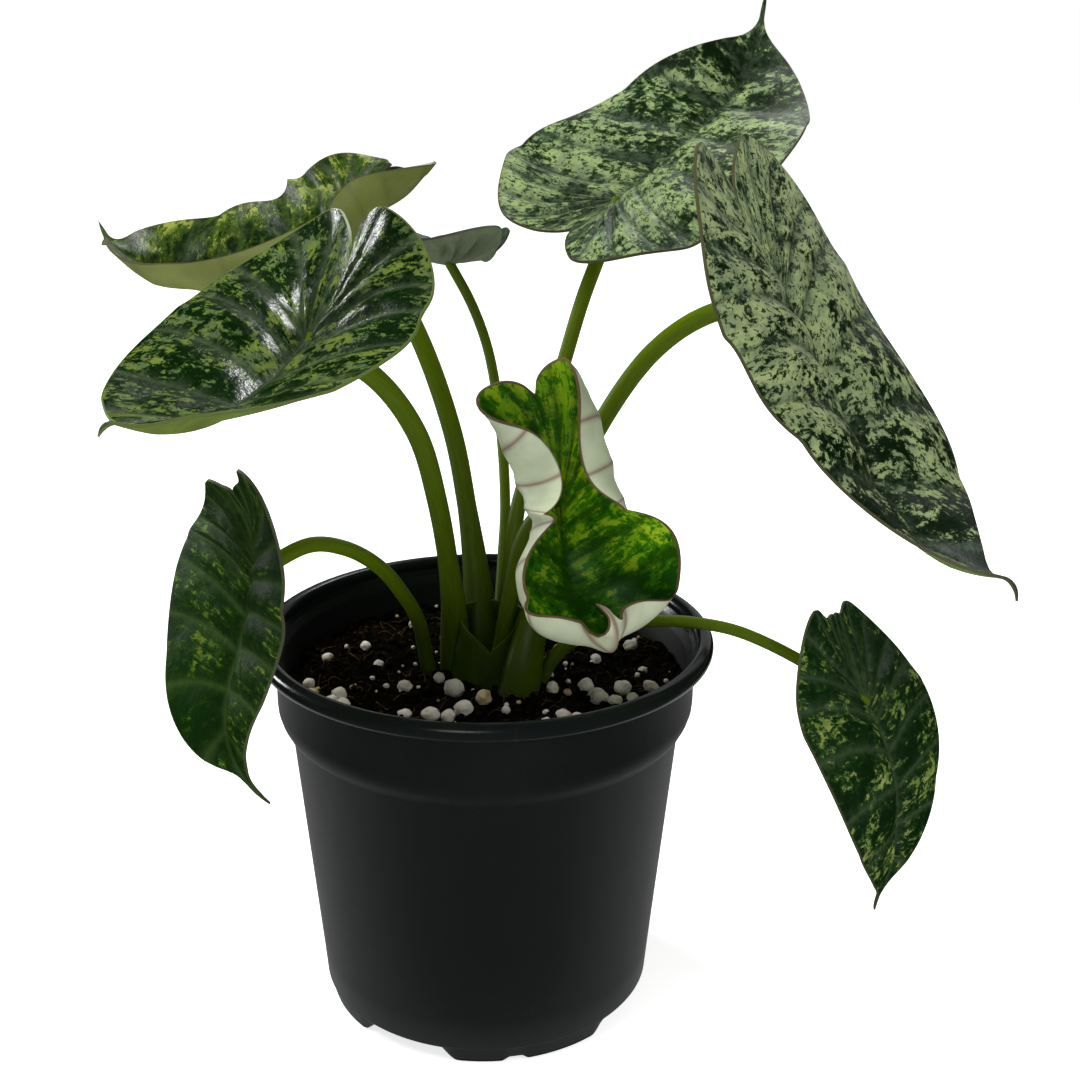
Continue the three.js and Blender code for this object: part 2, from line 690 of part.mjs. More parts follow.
// A bead of perlite, set into the soil.
function perliteSolid(x, y, diameter, draw) {
  const bead = new THREE.IcosahedronGeometry(diameter / 2, 0);
  bead.scale(1 + 0.2 * draw(), 1 + 0.2 * draw(), 0.85 + 0.15 * draw());
  bead.rotateX(draw() * 3).rotateZ(draw() * 6);
  return toSolid(bead.translate(x, y, soilHeight(x, y) + diameter * (0.5 - PERLITE_SINK)));
}

// The corm with a few thick roots that reach out and down into the soil.
function cormSolid(extra = 0) {
  const corm = new THREE.SphereGeometry(1, CORM_SIDES, CORM_RINGS).rotateX(Math.PI / 2);
  corm.scale(...CORM_RADII.map((r) => r + extra)).translate(...CORM_CENTRE);
  let solid = toSolid(corm);
  const draw = draws(5);
  for (let i = 0; i < ROOTS; i++) {
    const angle = (2 * Math.PI * (i + 0.4 * draw())) / ROOTS;
    const place = (reach, drop) => {
      const [cx, cy, cz] = CORM_CENTRE;
      return [cx + reach * Math.cos(angle), cy + reach * Math.sin(angle), cz - drop];
    };
    const reach = ROOT_REACH * (0.75 + 0.25 * draw());
    const root = {
      path: [place(6, 2), place(0.7 * reach, 0.4 * ROOT_DROP), place(reach, ROOT_DROP)],
      baseRadius: ROOT_RADIUS * 1.5,
      radius: ROOT_RADIUS,
    };
    solid = solid.add(toSolid(stalkGeometry(root, ROOT_STEPS, extra)));
  }
  return solid;
}

function mesh(name, solid, finish) {
  const made = new THREE.Mesh(toGeometry(solid), finish);
  made.name = name;
  return made;
}

const plant = new THREE.Group();
plant.add(mesh("pot", potSolid(), material(COLOURS.pot, 0.5)));

const corm = cormSolid();
plant.add(mesh("corm", corm, material(COLOURS.corm, 0.8)));

// The soil has a plain hole for the corm and for each petiole, and carries the perlite.
let soil = soilSolid();
const beadDraw = draws(11);
for (const [x, y, diameter] of PERLITE) soil = soil.add(perliteSolid(x, y, diameter, beadDraw));
const cormSpace = cormSolid(1.1 * GAP);
soil = soil.subtract(cormSpace);

const bladeSpaces = LEAVES.map((leaf) => toSolid(bladeGeometry(leaf, 1.4 * GAP)));
const taken = [];
for (const [i, leaf] of LEAVES.entries()) {
  let petiole = petioleSolid(leaf).subtract(cormSpace).subtract(bladeSpaces[i]);
  for (const other of taken) petiole = petiole.subtract(other);
  const space = petioleSolid(leaf, 1.1 * GAP);
  taken.push(space);
  soil = soil.subtract(space);
  plant.add(mesh("petiole_" + leaf.name, biggest(petiole), material(COLOURS.petiole, 0.45)));
  const colour = leaf.name === "unfurling" ? COLOURS.newBlade : COLOURS.blade;
  plant.add(mesh("blade_" + leaf.name, toSolid(bladeGeometry(leaf)), material(colour, 0.35)));
}
plant.add(mesh("soil", biggest(soil), material(COLOURS.soil, 0.95)));

export default plant;
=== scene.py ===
"""Potted dragon scale alocasia: eight quilted, mottled leaves in a black nursery pot of soil.

Every length is in millimetres, and MM turns it into metres. The leaves repeat the parameters
of the solid model, but for the hooked drip tips of two, so each detailed blade and petiole
stands in the place of its plain solid.
"""
import math
import random

import bmesh
import bpy
import numpy as np
from mathutils import Matrix, Vector, noise


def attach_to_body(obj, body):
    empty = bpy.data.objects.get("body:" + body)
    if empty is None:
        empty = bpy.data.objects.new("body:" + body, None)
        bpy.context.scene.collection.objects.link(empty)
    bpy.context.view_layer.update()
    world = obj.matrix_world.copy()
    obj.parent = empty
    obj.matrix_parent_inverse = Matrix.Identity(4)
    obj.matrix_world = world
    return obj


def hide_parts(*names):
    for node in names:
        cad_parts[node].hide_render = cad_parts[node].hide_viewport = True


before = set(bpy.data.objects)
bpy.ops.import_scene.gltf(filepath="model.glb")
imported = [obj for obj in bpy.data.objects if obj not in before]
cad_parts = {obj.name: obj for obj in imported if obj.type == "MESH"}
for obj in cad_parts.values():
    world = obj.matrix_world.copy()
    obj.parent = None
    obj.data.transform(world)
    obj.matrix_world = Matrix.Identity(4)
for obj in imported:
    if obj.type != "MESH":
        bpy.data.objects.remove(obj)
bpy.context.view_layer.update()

MM = 0.001
DEGREE = math.pi / 180

# The camera, fitted to the rim, band and base of the pot.
CAMERA_PLACE = (0, -352.3, 239.2)
CAMERA_AIM = (0.034, 0.9435, -0.3297)
CAMERA_ROLL = 0.009
CAMERA_LENS = 53.33
CAMERA_SENSOR = 36

# The studio: an even glow, a bright floor and two glossy leaves that a lamp of their own lights.
WORLD_LIGHT = 0.3
FLOOR_GLOW = 0.75
FLOOR_SIDE = 80000
GLINT_LEAVES = ("front_left", "back_left")

# The pot.
RIM_RADIUS = 54
POT_HEIGHT = 94
RIM_BEAD = 2.1
BAND_RADIUS = 49.6
SHOULDER_RADIUS = 46.5
SHOULDER_HEIGHT = 72
BASE_RADIUS = 40.9
BASE_HEIGHT = 12.4
WALL = 1.5
FLOOR_RADIUS = 27
FLOOR_LIFT = 4.3
FOOT_OUTER = 38.8
FOOT_INNER = 33.5
FOOT_PERIOD = 90
FIRST_GAP = -30
WIDE_GAP = 22
NOTCH_TURN = 29
NOTCH_WIDTH = 5
NOTCH_HEIGHT = 1.1
FOOT_RAMP = 9
FOOT_STEPS = 96
POT_SEGMENTS = 288

# The soil, and the loose things on it.
SOIL_LEVEL = 81.5
SOIL_CROWN = 2.5
SOIL_RELIEF = 1.3
SOIL_RINGS = 110
SOIL_SECTORS = 300
SOIL_REACH = 46.5
SOIL_GAP = 0.5
CLOD_SIZE = 1.1
PERLITE_SINK = 0.3
PERLITE_GRAINS = 70
GRAIN_REACH = 46
CRUMBS = 900
FIBRES = 260
FIBRE_REACH = 45
FIBRE_STEPS = 8

# The blades.
BLADE_THICKNESS = 0.6
TAIL_WIDTH = 0.5
FLAT_TIP = 0.84
LEAN_WIDTH = 2
QUILT_HEIGHT = 1.0
QUILT_START = 4
PILLOW_HEIGHT = 0.22
PILLOW_LENGTH = 6
RIB_WIDTH = 0.7
WIDE_RIB_WIDTH = 2.24
RIM_WIDTH = 0.9
KEEL_WIDTH = 1.1
KEEL_DEPTH = 0.7
GROOVE_DEPTH = 0.25
ROWS_PER_VEIN = 15
SPAN_STEPS = 44

# The petioles.
PETIOLE_STEPS = 90
PETIOLE_SIDES = 28
SHEATH_SHARE = 0.43
SHEATH_FLARE = 1.3
WING_HEIGHT = 0.16

# The leaf bases that wrap the crown, with a notch at the front.
COLLAR_X = 1
COLLAR_Y = -1
COLLAR_WIDTH = 10.8
COLLAR_DEPTH = 9.2
COLLAR_WALL = 0.6
COLLAR_FOOT = 79
COLLAR_NOTCH = 91
COLLAR_TOP = 99
COLLAR_SPREAD = 75
COLLAR_TAPER = 0.28
COLLAR_ROWS = 14
COLLAR_SIDES = 120

# The side veins of half a blade, from the tip to the cleft between the lobes: start on the
# midrib as a share of the length, end as a place on the outline, and bow towards the tip.
VEIN_START = (0.93, 0.75, 0.56, 0.38, 0.22, 0.08, 0, 0, 0, 0, 0)
VEIN_END = (0, 3.5, 4.5, 5.4, 6.3, 7.2, 8.1, 9.0, 10.0, 11.3, 13)
VEIN_BOW = (0, 0.1, 0.13, 0.14, 0.14, 0.13, 0.11, 0.09, 0.06, 0.03, 0)
LAST_VEIN = len(VEIN_START) - 1

# Perlite on the soil: place and diameter.
PERLITE = (
    (-34, -12.5, 4), (-33, -17, 3.4), (-36, -15, 3.2), (-40.5, -10, 3), (-42, -4, 3),
    (-34.5, -20.5, 3), (-30, -23, 2.4), (-19, -8.5, 3.4), (-11, -7.5, 3), (-7.5, -12, 4.6),
    (-0.5, -18.5, 4), (-18.5, -22.5, 3), (-12.5, -24, 3.6), (-8.5, -23.5, 3.8), (-5, -23, 4),
    (4.5, -20.5, 2.4), (15.5, -12.5, 3), (19, -12, 2), (23.5, -9.5, 3.6), (26, -14, 4.4),
    (32, -10.5, 4), (30, -15.5, 3.2), (34, -15, 3), (39, -8.5, 3.6), (43, -12, 3),
    (17.5, -24, 3.4), (20.5, -26, 2.6), (13.5, -28, 3), (-26, 6, 2.6), (-30, 18, 3),
    (-18, 30, 3.4), (-5, 38, 3), (10, 33, 3.6), (24, 27, 3), (36, 15, 3.4), (38, 2, 2.6),
    (-39, 12, 2.6), (-10, 22, 2.8), (18, 12, 3), (27, 8, 2.6),
)


# One leaf: where the petiole meets the blade, how the blade points, its flat sizes, how the
# midrib bends, swerves and twists, and how each half folds and curls at the ends of the lobes,
# at the petiole, at mid-length and at the tip. Angles are in degrees. The look has the colours of
# the patches, ribs, underside and margin, how far the pale and the middle patches cover the dark,
# the dark flecks, how the pale fades towards the tip, how fine the pattern is, how marked the veins
# of the underside and the quilting are, and the roughness and shine.
def leaf(attach, heading, pitch, roll, size, bend, swerve, twist, right, left, petiole, look):
    names = ("length", "half_width", "lobe", "cleft", "tail")
    return {
        "attach": attach, "heading": heading, "pitch": pitch, "roll": roll,
        "size": dict(zip(names, size)),
        "bend": dict(zip(("lobe", "base", "tip", "tail"), bend)),
        "swerve": dict(zip(("base", "tip"), swerve)),
        "twist": dict(zip(("lobe", "base", "tip"), twist)),
        "right": dict(zip(("fold", "curl"), right)),
        "left": dict(zip(("fold", "curl"), left)),
        "path": petiole[0], "base_radius": petiole[1], "radius": petiole[2], "look": look,
    }


LEAVES = {
    "unfurling": leaf(
        (17, -9.7, 125.7), -78, -71, 30, (53, 35.5, 42, 30, 5), (-70, -33, -121, -83), (-18, -11),
        (-12, -36, 40), ((-14, 64, -9, 81), (327, 73, 140, 120)),
        ((-51, 12, -35, 48), (239, 77, 142, 6)),
        (((2, -2.5, 66), (3.5, -4, 89), (6, -6.2, 106), (8.7, -8.2, 119), (12.3, -9.2, 125)), 4.6, 2),
        {"light": (0.31, 0.47, 0.012), "pale": (0.2, 0.42, 0.01), "mid": (0.04, 0.18, 0.002),
         "dark": (0.01, 0.075, 0.001), "grey": (0.03, 0.1, 0.002), "rib": (0.015, 0.055, 0.002),
         "under": (0.52, 0.58, 0.4), "margin": (0.1, 0.06, 0.025), "cover": 0.05, "middle": 0.09,
         "flecks": -0.08, "fade": 0.16, "scale": 1.1, "veins": 0.9, "quilt": 0.5, "gloss": 0.36,
         "shine": 0.13, "seed": 1},
    ),
    "back_left": leaf(
        (-35, 34.4, 184.5), 196, -45, -89, (77.5, 26, 24, 18, 11), (22, 21, 19, -20), (55, 43),
        (-57, 52, 29), ((-56, -67, 19, 19), (96, 5, -67, 129)),
        ((-31, 9, 2, 83), (166, 214, 186, 31)),
        (((0, 3, 66), (-1.9, 8.5, 100.4), (-4.7, 14.4, 121.3), (-8, 19.7, 137.3), (-16, 27, 158.8),
          (-25, 31.5, 174)), 6.6, 2.3),
        {"light": (0.24, 0.28, 0.045), "pale": (0.1, 0.15, 0.015), "mid": (0.03, 0.062, 0.003),
         "dark": (0.003, 0.016, 0.001), "grey": (0.05, 0.078, 0.022), "rib": (0.03, 0.055, 0.015),
         "under": (0.16, 0.19, 0.035), "margin": (0.07, 0.06, 0.02), "cover": -0.005,
         "middle": 0.03, "flecks": -0.01, "fade": 0, "scale": 1.1, "veins": 0.35, "quilt": 0.9,
         "gloss": 0.4, "shine": 0.13, "seed": 2},
    ),
    "small_back": leaf(
        (-9.2, 61.1, 170.7), 146, 0, 33, (35.5, 16.5, 19.5, 12, 5), (-51, -28, 1, 37), (22, 12),
        (4, -6, 3), ((57, 29, 34, 8), (-3, -6, 2, 1)), ((-3, 8, 14, 16), (14, -26, -10, 0)),
        (((2, 7, 66), (3.2, 11, 86), (4.3, 19.7, 104), (4.9, 28, 117), (3.7, 40, 134.3),
          (0.8, 50.3, 150), (-3.3, 56.2, 160.5)), 2.4, 1.3),
        # These grey-blue colours are a painted sheen: the leaf is coloured like the pale reflection it
        # shows at a grazing angle, over its darker green.
        {"light": (0.06, 0.083, 0.058), "pale": (0.06, 0.08, 0.055), "mid": (0.03, 0.05, 0.033),
         "dark": (0.012, 0.025, 0.015), "grey": (0.05, 0.07, 0.045), "rib": (0.07, 0.09, 0.06),
         "under": (0.13, 0.17, 0.09), "margin": (0.05, 0.06, 0.04), "cover": -0.03, "middle": 0.02,
         "flecks": -0.03, "fade": 0, "scale": 1.2, "veins": 0, "quilt": 1.5, "gloss": 0.36,
         "shine": 0.3, "seed": 3},
    ),
    "top_right": leaf(
        (33.1, 44.6, 189), 28, 35, -7, (72.5, 38.5, 24.5, 15, 12), (-27, 8, -24, 3), (-17, -23),
        (-10, 10, 45), ((-9, 8, -10, 18), (24, -38, 11, -6)), ((3, 26, 36, 31), (36, -2, -48, 11)),
        (((4, 4, 66), (5.3, 5, 87.4), (6.3, 8.4, 108), (8.2, 14.3, 121.3), (14.4, 22.3, 136.6),
          (19.5, 30.7, 152.3), (23.9, 36.8, 165.5), (27.7, 40.8, 174.9)), 3.4, 1.8),
        {"light": (0.25, 0.33, 0.125), "pale": (0.17, 0.235, 0.115), "mid": (0.035, 0.07, 0.018),
         "dark": (0.003, 0.012, 0.002), "grey": (0.085, 0.125, 0.075), "rib": (0.02, 0.035, 0.015),
         "under": (0.2, 0.26, 0.09), "margin": (0.06, 0.06, 0.02), "cover": 0.046, "middle": 0.055,
         "flecks": 0.035, "fade": 0.05, "scale": 1.55, "veins": 0.3, "quilt": 1.1, "gloss": 0.36,
         "shine": 0.22, "seed": 4},
    ),
    "front_left": leaf(
        (-37.3, -24.5, 168.2), -124, -31, -10, (70.5, 33.5, 32.5, 21.5, 5), (-46, -37, -17, 75),
        (-12, 12), (-22, -5, 9), ((-34, 10, -14, 4), (72, -24, 26, -5)),
        ((41, 29, 24, 27), (-92, -8, 9, -21)),
        (((-5, 1, 66), (-7.2, 0, 88), (-7.7, -2.5, 102.1), (-10.9, -9.5, 129), (-15.3, -15, 146.8),
          (-24.3, -20.2, 160.5)), 5.4, 2.3),
        {"light": (0.125, 0.172, 0.026), "pale": (0.075, 0.115, 0.045), "mid": (0.012, 0.036, 0.005),
         "dark": (0.002, 0.012, 0.001), "grey": (0.036, 0.056, 0.026), "rib": (0.06, 0.085, 0.045),
         "under": (0.14, 0.2, 0.03), "margin": (0.1, 0.14, 0.03), "cover": 0.016, "middle": 0.015,
         "flecks": 0, "fade": 0, "scale": 1.55, "veins": 0.3, "quilt": 1.2, "gloss": 0.15,
         "shine": 0.34, "seed": 5},
    ),
    "right": leaf(
        (63.7, -14.2, 174.8), -26, -55, 1, (82.5, 42, 37, 24.5, 7), (-20, 0, -54, 85), (29, 19),
        (9, -11, 16), ((-5, 23, 6, 3), (11, -43, -38, -6)), ((1, 14, 44, 29), (21, -20, -48, 6)),
        (((5, -8, 66), (8.3, -10.5, 86), (12.1, -6, 103.4), (18.3, -1.8, 126.5), (26.1, -1.3, 144.2),
          (37.5, -6.2, 162.6), (49, -11.1, 171.8)), 6.6, 2.1),
        {"light": (0.31, 0.385, 0.165), "pale": (0.21, 0.275, 0.135), "mid": (0.035, 0.07, 0.022),
         "dark": (0.002, 0.012, 0.002), "grey": (0.08, 0.125, 0.07), "rib": (0.02, 0.035, 0.018),
         "under": (0.16, 0.24, 0.06), "margin": (0.06, 0.06, 0.02), "cover": 0.075, "middle": 0.06,
         "flecks": 0.045, "fade": 0.1, "scale": 1.45, "veins": 0.3, "quilt": 1.4, "gloss": 0.36,
         "shine": 0.2, "seed": 6},
    ),
    "lower_left": leaf(
        (-48.1, -34.8, 121.3), -154, -78, 18, (47, 26, 22.5, 18, 8.5), (-59, -11, 51, 18),
        (-11, -13), (3, -20, -24), ((12, 39, 24, 52), (23, -9, 7, 8)),
        ((-39, 10, 6, 16), (55, -40, -13, -4)),
        (((-9, 1, 64), (-13.4, 0, 82.1), (-15.8, -6.4, 98.7), (-19.5, -11.5, 108.1), (-24, -16.6, 115.9),
          (-30.6, -22.6, 122.2), (-37.6, -27.8, 124.8)), 2.1, 1.7),
        {"light": (0.1, 0.15, 0.012), "pale": (0.05, 0.1, 0.01), "mid": (0.01, 0.034, 0.001),
         "dark": (0.003, 0.02, 0.001), "grey": (0.015, 0.036, 0.004), "rib": (0.045, 0.085, 0.018),
         "under": (0.14, 0.2, 0.06), "margin": (0.05, 0.06, 0.02), "cover": -0.025, "middle": 0.01,
         "flecks": -0.05, "fade": 0, "scale": 1.7, "veins": 0.2, "quilt": 0.9, "gloss": 0.45,
         "shine": 0.04, "seed": 7},
    ),
    "lower_right": leaf(
        (90.7, -7.9, 77.2), -46, -50, -16, (58, 27, 25, 22, 7.5), (-20, 37, 20, -12), (-20, -14),
        (12, -1, 18), ((-7, 1, -1, 8), (-8, -29, -30, -3)), ((1, 25, 24, 17), (22, -29, -23, -2)),
        (((9, -5.5, 64), (12, -7, 80.4), (14.6, -7.1, 87.4), (20.8, -7.1, 93.8), (31.3, -7.3, 97.7),
          (41.8, -7.4, 98.6), (50, -7.5, 98), (59.4, -7.6, 95.8), (74, -7.8, 88.6)), 2.4, 1.4),
        {"light": (0.21, 0.25, 0.06), "pale": (0.12, 0.19, 0.03), "mid": (0.012, 0.045, 0.006),
         "dark": (0.003, 0.018, 0.002), "grey": (0.025, 0.055, 0.018), "rib": (0.05, 0.085, 0.035),
         "under": (0.16, 0.23, 0.07), "margin": (0.05, 0.06, 0.02), "cover": -0.015, "middle": 0,
         "flecks": -0.04, "fade": 0, "scale": 1.8, "veins": 0.3, "quilt": 1, "gloss": 0.36,
         "shine": 0.16, "seed": 8},
    ),
}


class Shader:
    """A material's node tree, with short calls for the nodes that the finishes share."""

    def __init__(self, name):
        self.material = bpy.data.materials.new(name)
        self.material.use_nodes = True
        self.tree = self.material.node_tree
        self.bsdf = self.tree.nodes["Principled BSDF"]

    def node(self, kind, **settings):
        made = self.tree.nodes.new("ShaderNode" + kind)
        for key, value in settings.items():
            setattr(made, key, value)
        return made

    def put(self, socket, value):
        if isinstance(value, bpy.types.NodeSocket):
            self.tree.links.new(value, socket)
        elif isinstance(value, tuple) and len(value) == 3 and socket.type == "RGBA":
            socket.default_value = (*value, 1)
        else:
            socket.default_value = value

    def set(self, name, value):
        self.put(self.bsdf.inputs[name], value)

    def math(self, operation, a, b=0.0):
        made = self.node("Math", operation=operation)
        self.put(made.inputs[0], a)
        self.put(made.inputs[1], b)
        return made.outputs[0]

    def mix(self, share, a, b):
        return self.blended("MIX", share, a, b)

    def blended(self, kind, share, a, b):
        """A colour mix. Its factor, colours and result are the sockets 0, 6, 7 and 2."""
        made = self.node("Mix", data_type="RGBA", blend_type=kind)
        self.put(made.inputs[0], share)
        self.put(made.inputs[6], a)
        self.put(made.inputs[7], b)
        return made.outputs[2]

    def noise(self, vector, scale, detail=4.0, roughness=0.5, distortion=0.0):
        made = self.node("TexNoise")
        self.put(made.inputs["Vector"], vector)
        made.inputs["Scale"].default_value = scale
        made.inputs["Detail"].default_value = detail
        made.inputs["Roughness"].default_value = roughness
        made.inputs["Distortion"].default_value = distortion
        return made.outputs["Fac"]

    def spread(self, vector, scale, offset=(0, 0, 0)):
        made = self.node("Mapping")
        self.put(made.inputs["Vector"], vector)
        made.inputs["Scale"].default_value = scale
        made.inputs["Location"].default_value = offset
        return made.outputs["Vector"]

    def edge(self, value, low, high):
        """0 under low, 1 over high and a smooth step between them."""
        made = self.node("MapRange", interpolation_type="SMOOTHSTEP")
        self.put(made.inputs["Value"], value)
        made.inputs["From Min"].default_value = low
        made.inputs["From Max"].default_value = high
        return made.outputs["Result"]

    def uv(self, name):
        return self.node("UVMap", uv_map=name).outputs["UV"]

    def attribute(self, name):
        return self.node("Attribute", attribute_name=name).outputs["Fac"]

    def place(self):
        return self.node("TexCoord").outputs["Object"]

    def bump(self, height, strength, distance):
        made = self.node("Bump")
        self.put(made.inputs["Height"], height)
        made.inputs["Strength"].default_value = strength
        made.inputs["Distance"].default_value = distance
        self.tree.links.new(made.outputs["Normal"], self.bsdf.inputs["Normal"])


def blade_top(name, look):
    """Dark green, with ragged paler patches that are drawn out along the side veins."""
    s = Shader(name)
    scale = look["scale"]
    flat = s.spread(s.uv("flat"), (scale, scale, 1), (look["seed"] * 7.3, look["seed"] * 3.1, 0))
    grain = s.spread(s.uv("grain"), (scale, scale, 1), (look["seed"] * 5.7, 0, 0))
    rib = s.attribute("rib")
    wide_rib = s.attribute("wide_rib")
    tipward = s.attribute("tipward")
    rim = s.attribute("rim")
    patches = s.noise(flat, 2.3, 10, 0.76, 0.35)
    streaks = s.noise(s.spread(grain, (0.8, 3.4, 1)), 1.8, 10, 0.74, 0.4)
    zones = s.noise(flat, 0.45, 2, 0.5)
    field = s.math("ADD", s.math("MULTIPLY", patches, 0.5), s.math("MULTIPLY", streaks, 0.5))
    field = s.math("ADD", field, s.math("MULTIPLY", s.math("SUBTRACT", zones, 0.5), 0.3))
    field = s.math("SUBTRACT", field, s.math("MULTIPLY", wide_rib, 0.03))
    field = s.math("SUBTRACT", field, s.math("MULTIPLY", tipward, look["fade"]))
    middle = 0.5 - look["middle"]
    light = 0.53 - look["cover"]
    hue = s.edge(s.noise(flat, 1.3, 6, 0.65, 0.2), 0.42, 0.58)
    pale = s.mix(hue, look["light"], look["pale"])
    colour = s.mix(s.edge(field, middle - 0.012, middle + 0.02), look["dark"], look["mid"])
    colour = s.mix(s.edge(field, light - 0.006, light + 0.014), colour, pale)
    broken = s.edge(s.noise(flat, 2.6, 6, 0.65), 0.4, 0.6)
    colour = s.mix(s.math("MULTIPLY", s.math("MULTIPLY", wide_rib, broken), 0.6), colour, look["grey"])
    flecks = s.noise(s.spread(grain, (0.8, 1.9, 1), (9, 4, 0)), 5.2, 6, 0.6, 0.5)
    dots = 0.6 - look["flecks"]
    colour = s.mix(s.math("MULTIPLY", s.edge(flecks, dots, dots + 0.012), 0.92), colour, look["dark"])
    colour = s.mix(s.math("MULTIPLY", rib, 0.5), colour, look["rib"])
    tone = s.noise(flat, 0.9, 3, 0.5)
    shade = s.math("ADD", 0.72, s.math("MULTIPLY", tone, 0.56))
    colour = s.blended("MULTIPLY", 1.0, colour, shade)
    colour = s.mix(s.edge(rim, 0.72, 0.92), colour, look["margin"])
    s.set("Base Color", colour)
    fine = s.noise(flat, 14, 3, 0.5)
    s.set("Roughness", s.math("ADD", look["gloss"], s.math("MULTIPLY", s.noise(flat, 9, 4), 0.16)))
    s.set("Specular IOR Level", look["shine"])
    cells = s.noise(s.spread(grain, (1.0, 1.6, 1)), 5, 4, 0.55)
    height = s.math("ADD", s.math("MULTIPLY", fine, 0.3), s.math("MULTIPLY", cells, 0.7))
    s.bump(height, 0.45, 0.0008 / scale)
    return s.material


def blade_underside(name, look):
    """Pale and matt, with darker side veins and margin."""
    s = Shader(name)
    flat = s.spread(s.uv("flat"), (1, 1, 1), (look["seed"] * 2.3, 0, 0))
    under = look["under"]
    cloud = s.noise(flat, 0.7, 5, 0.6)
    colour = s.mix(s.edge(cloud, 0.35, 0.7), tuple(0.78 * c for c in under), under)
    vein = (0.16, 0.055, 0.05) if look["veins"] > 0.5 else tuple(0.55 * c for c in under)
    colour = s.mix(s.math("MULTIPLY", s.attribute("rib"), 0.25 + 0.6 * look["veins"]), colour, vein)
    colour = s.mix(s.edge(s.attribute("rim"), 0.72, 0.95), colour, look["margin"])
    s.set("Base Color", colour)
    s.set("Roughness", 0.5)
    s.set("Specular IOR Level", 0.35)
    s.bump(s.noise(flat, 16, 5, 0.6), 0.3, 0.0004)
    return s.material


def petiole_finish(name):
    """Yellow green at the blade and darker at the crown, with fine streaks along the stalk."""
    s = Shader(name)
    along = s.attribute("along")
    streaks = s.noise(s.spread(s.uv("stalk"), (10, 0.5, 1)), 3, 6, 0.6)
    colour = s.mix(s.edge(along, -0.06, 0.34), (0.011, 0.032, 0.0006), (0.078, 0.125, 0.0006))
    colour = s.mix(s.math("MULTIPLY", s.edge(streaks, 0.4, 0.75), 0.55), colour, (0.042, 0.075, 0.001))
    flecks = s.noise(s.spread(s.uv("stalk"), (4, 1.2, 1)), 9, 5, 0.6)
    colour = s.mix(s.math("MULTIPLY", s.edge(flecks, 0.62, 0.7), 0.3), colour, (0.02, 0.035, 0.004))
    colour = s.mix(s.math("MULTIPLY", s.attribute("sheath"), 0.6), colour, (0.09, 0.125, 0.012))
    s.set("Base Color", colour)
    s.set("Roughness", s.math("ADD", 0.36, s.math("MULTIPLY", streaks, 0.18)))
    s.set("Specular IOR Level", 0.1)
    s.bump(streaks, 0.25, 0.0004)
    return s.material


def pot_finish():
    """Black moulded plastic: a fine grain on the wall, faint scuffs and a smoother rim."""
    s = Shader("pot_plastic")
    place = s.place()
    height = s.node("SeparateXYZ")
    s.put(height.inputs[0], place)
    rim = s.edge(height.outputs["Z"], 0.0895, 0.0905)
    grain = s.noise(place, 1700, 3, 0.6)
    dust = s.noise(s.spread(place, (1, 1, 0.5)), 38, 7, 0.65)
    dusty = s.math("MULTIPLY", s.edge(dust, 0.5, 0.8), 0.5)
    colour = s.mix(dusty, (0.0060, 0.0078, 0.0073), (0.0105, 0.0122, 0.0116))
    scratch = s.noise(s.spread(place, (1, 1, 0.05)), 260, 5, 0.7)
    colour = s.mix(s.math("MULTIPLY", s.edge(scratch, 0.66, 0.74), 0.25), colour, (0.04, 0.04, 0.042))
    s.set("Base Color", colour)
    rough = s.math("ADD", 0.40, s.math("MULTIPLY", dust, 0.16))
    s.set("Roughness", s.math("SUBTRACT", rough, s.math("MULTIPLY", rim, 0.28)))
    s.set("Specular IOR Level", 0.12)
    s.bump(grain, 0.12, 0.0002)
    return s.material


def soil_finish():
    """Moist peat: nearly black, with brown crumbs."""
    s = Shader("soil_peat")
    place = s.place()
    coarse = s.noise(place, 330, 6, 0.65)
    brown = s.noise(place, 900, 5, 0.6)
    colour = s.mix(s.edge(coarse, 0.35, 0.7), (0.0004, 0.0003, 0.0002), (0.0042, 0.0033, 0.0015))
    colour = s.mix(s.math("MULTIPLY", s.edge(brown, 0.58, 0.68), 0.5), colour, (0.04, 0.027, 0.012))
    s.set("Base Color", colour)
    s.set("Roughness", 0.9)
    s.set("Specular IOR Level", 0.03)
    s.bump(s.math("ADD", coarse, s.math("MULTIPLY", brown, 0.5)), 0.9, 0.0012)
    return s.material


def perlite_finish(name, colour, stain):
    """Chalky and pitted, with some dirt on it."""
    s = Shader(name)
    place = s.place()
    pits = s.noise(place, 900, 6, 0.65)
    dirt = s.noise(place, 260, 4, 0.6)
    mixed = s.mix(s.edge(dirt, 0.48, 0.75), colour, stain)
    pitted = s.math("MULTIPLY", s.edge(pits, 0.58, 0.7), 0.5)
    s.set("Base Color", s.mix(pitted, mixed, (0.16, 0.12, 0.08)))
    s.set("Roughness", 0.85)
    s.bump(pits, 0.6, 0.0005)
    return s.material


def plain_finish(name, dark, light, scale, roughness):
    """A clouded matt finish between two colours."""
    s = Shader(name)
    cloud = s.noise(s.place(), scale, 6, 0.6)
    s.set("Base Color", s.mix(s.edge(cloud, 0.35, 0.65), dark, light))
    s.set("Roughness", roughness)
    s.set("Specular IOR Level", 0.04)
    s.bump(cloud, 0.5, 0.0005)
    return s.material


def make_object(name, points, faces, materials):
    """A mesh object at the origin, from points in millimetres."""
    mesh = bpy.data.meshes.new(name)
    mesh.from_pydata((np.asarray(points) * MM).tolist(), [], faces)
    for material in materials:
        mesh.materials.append(material)
    made = bpy.data.objects.new(name, mesh)
    bpy.context.scene.collection.objects.link(made)
    return made


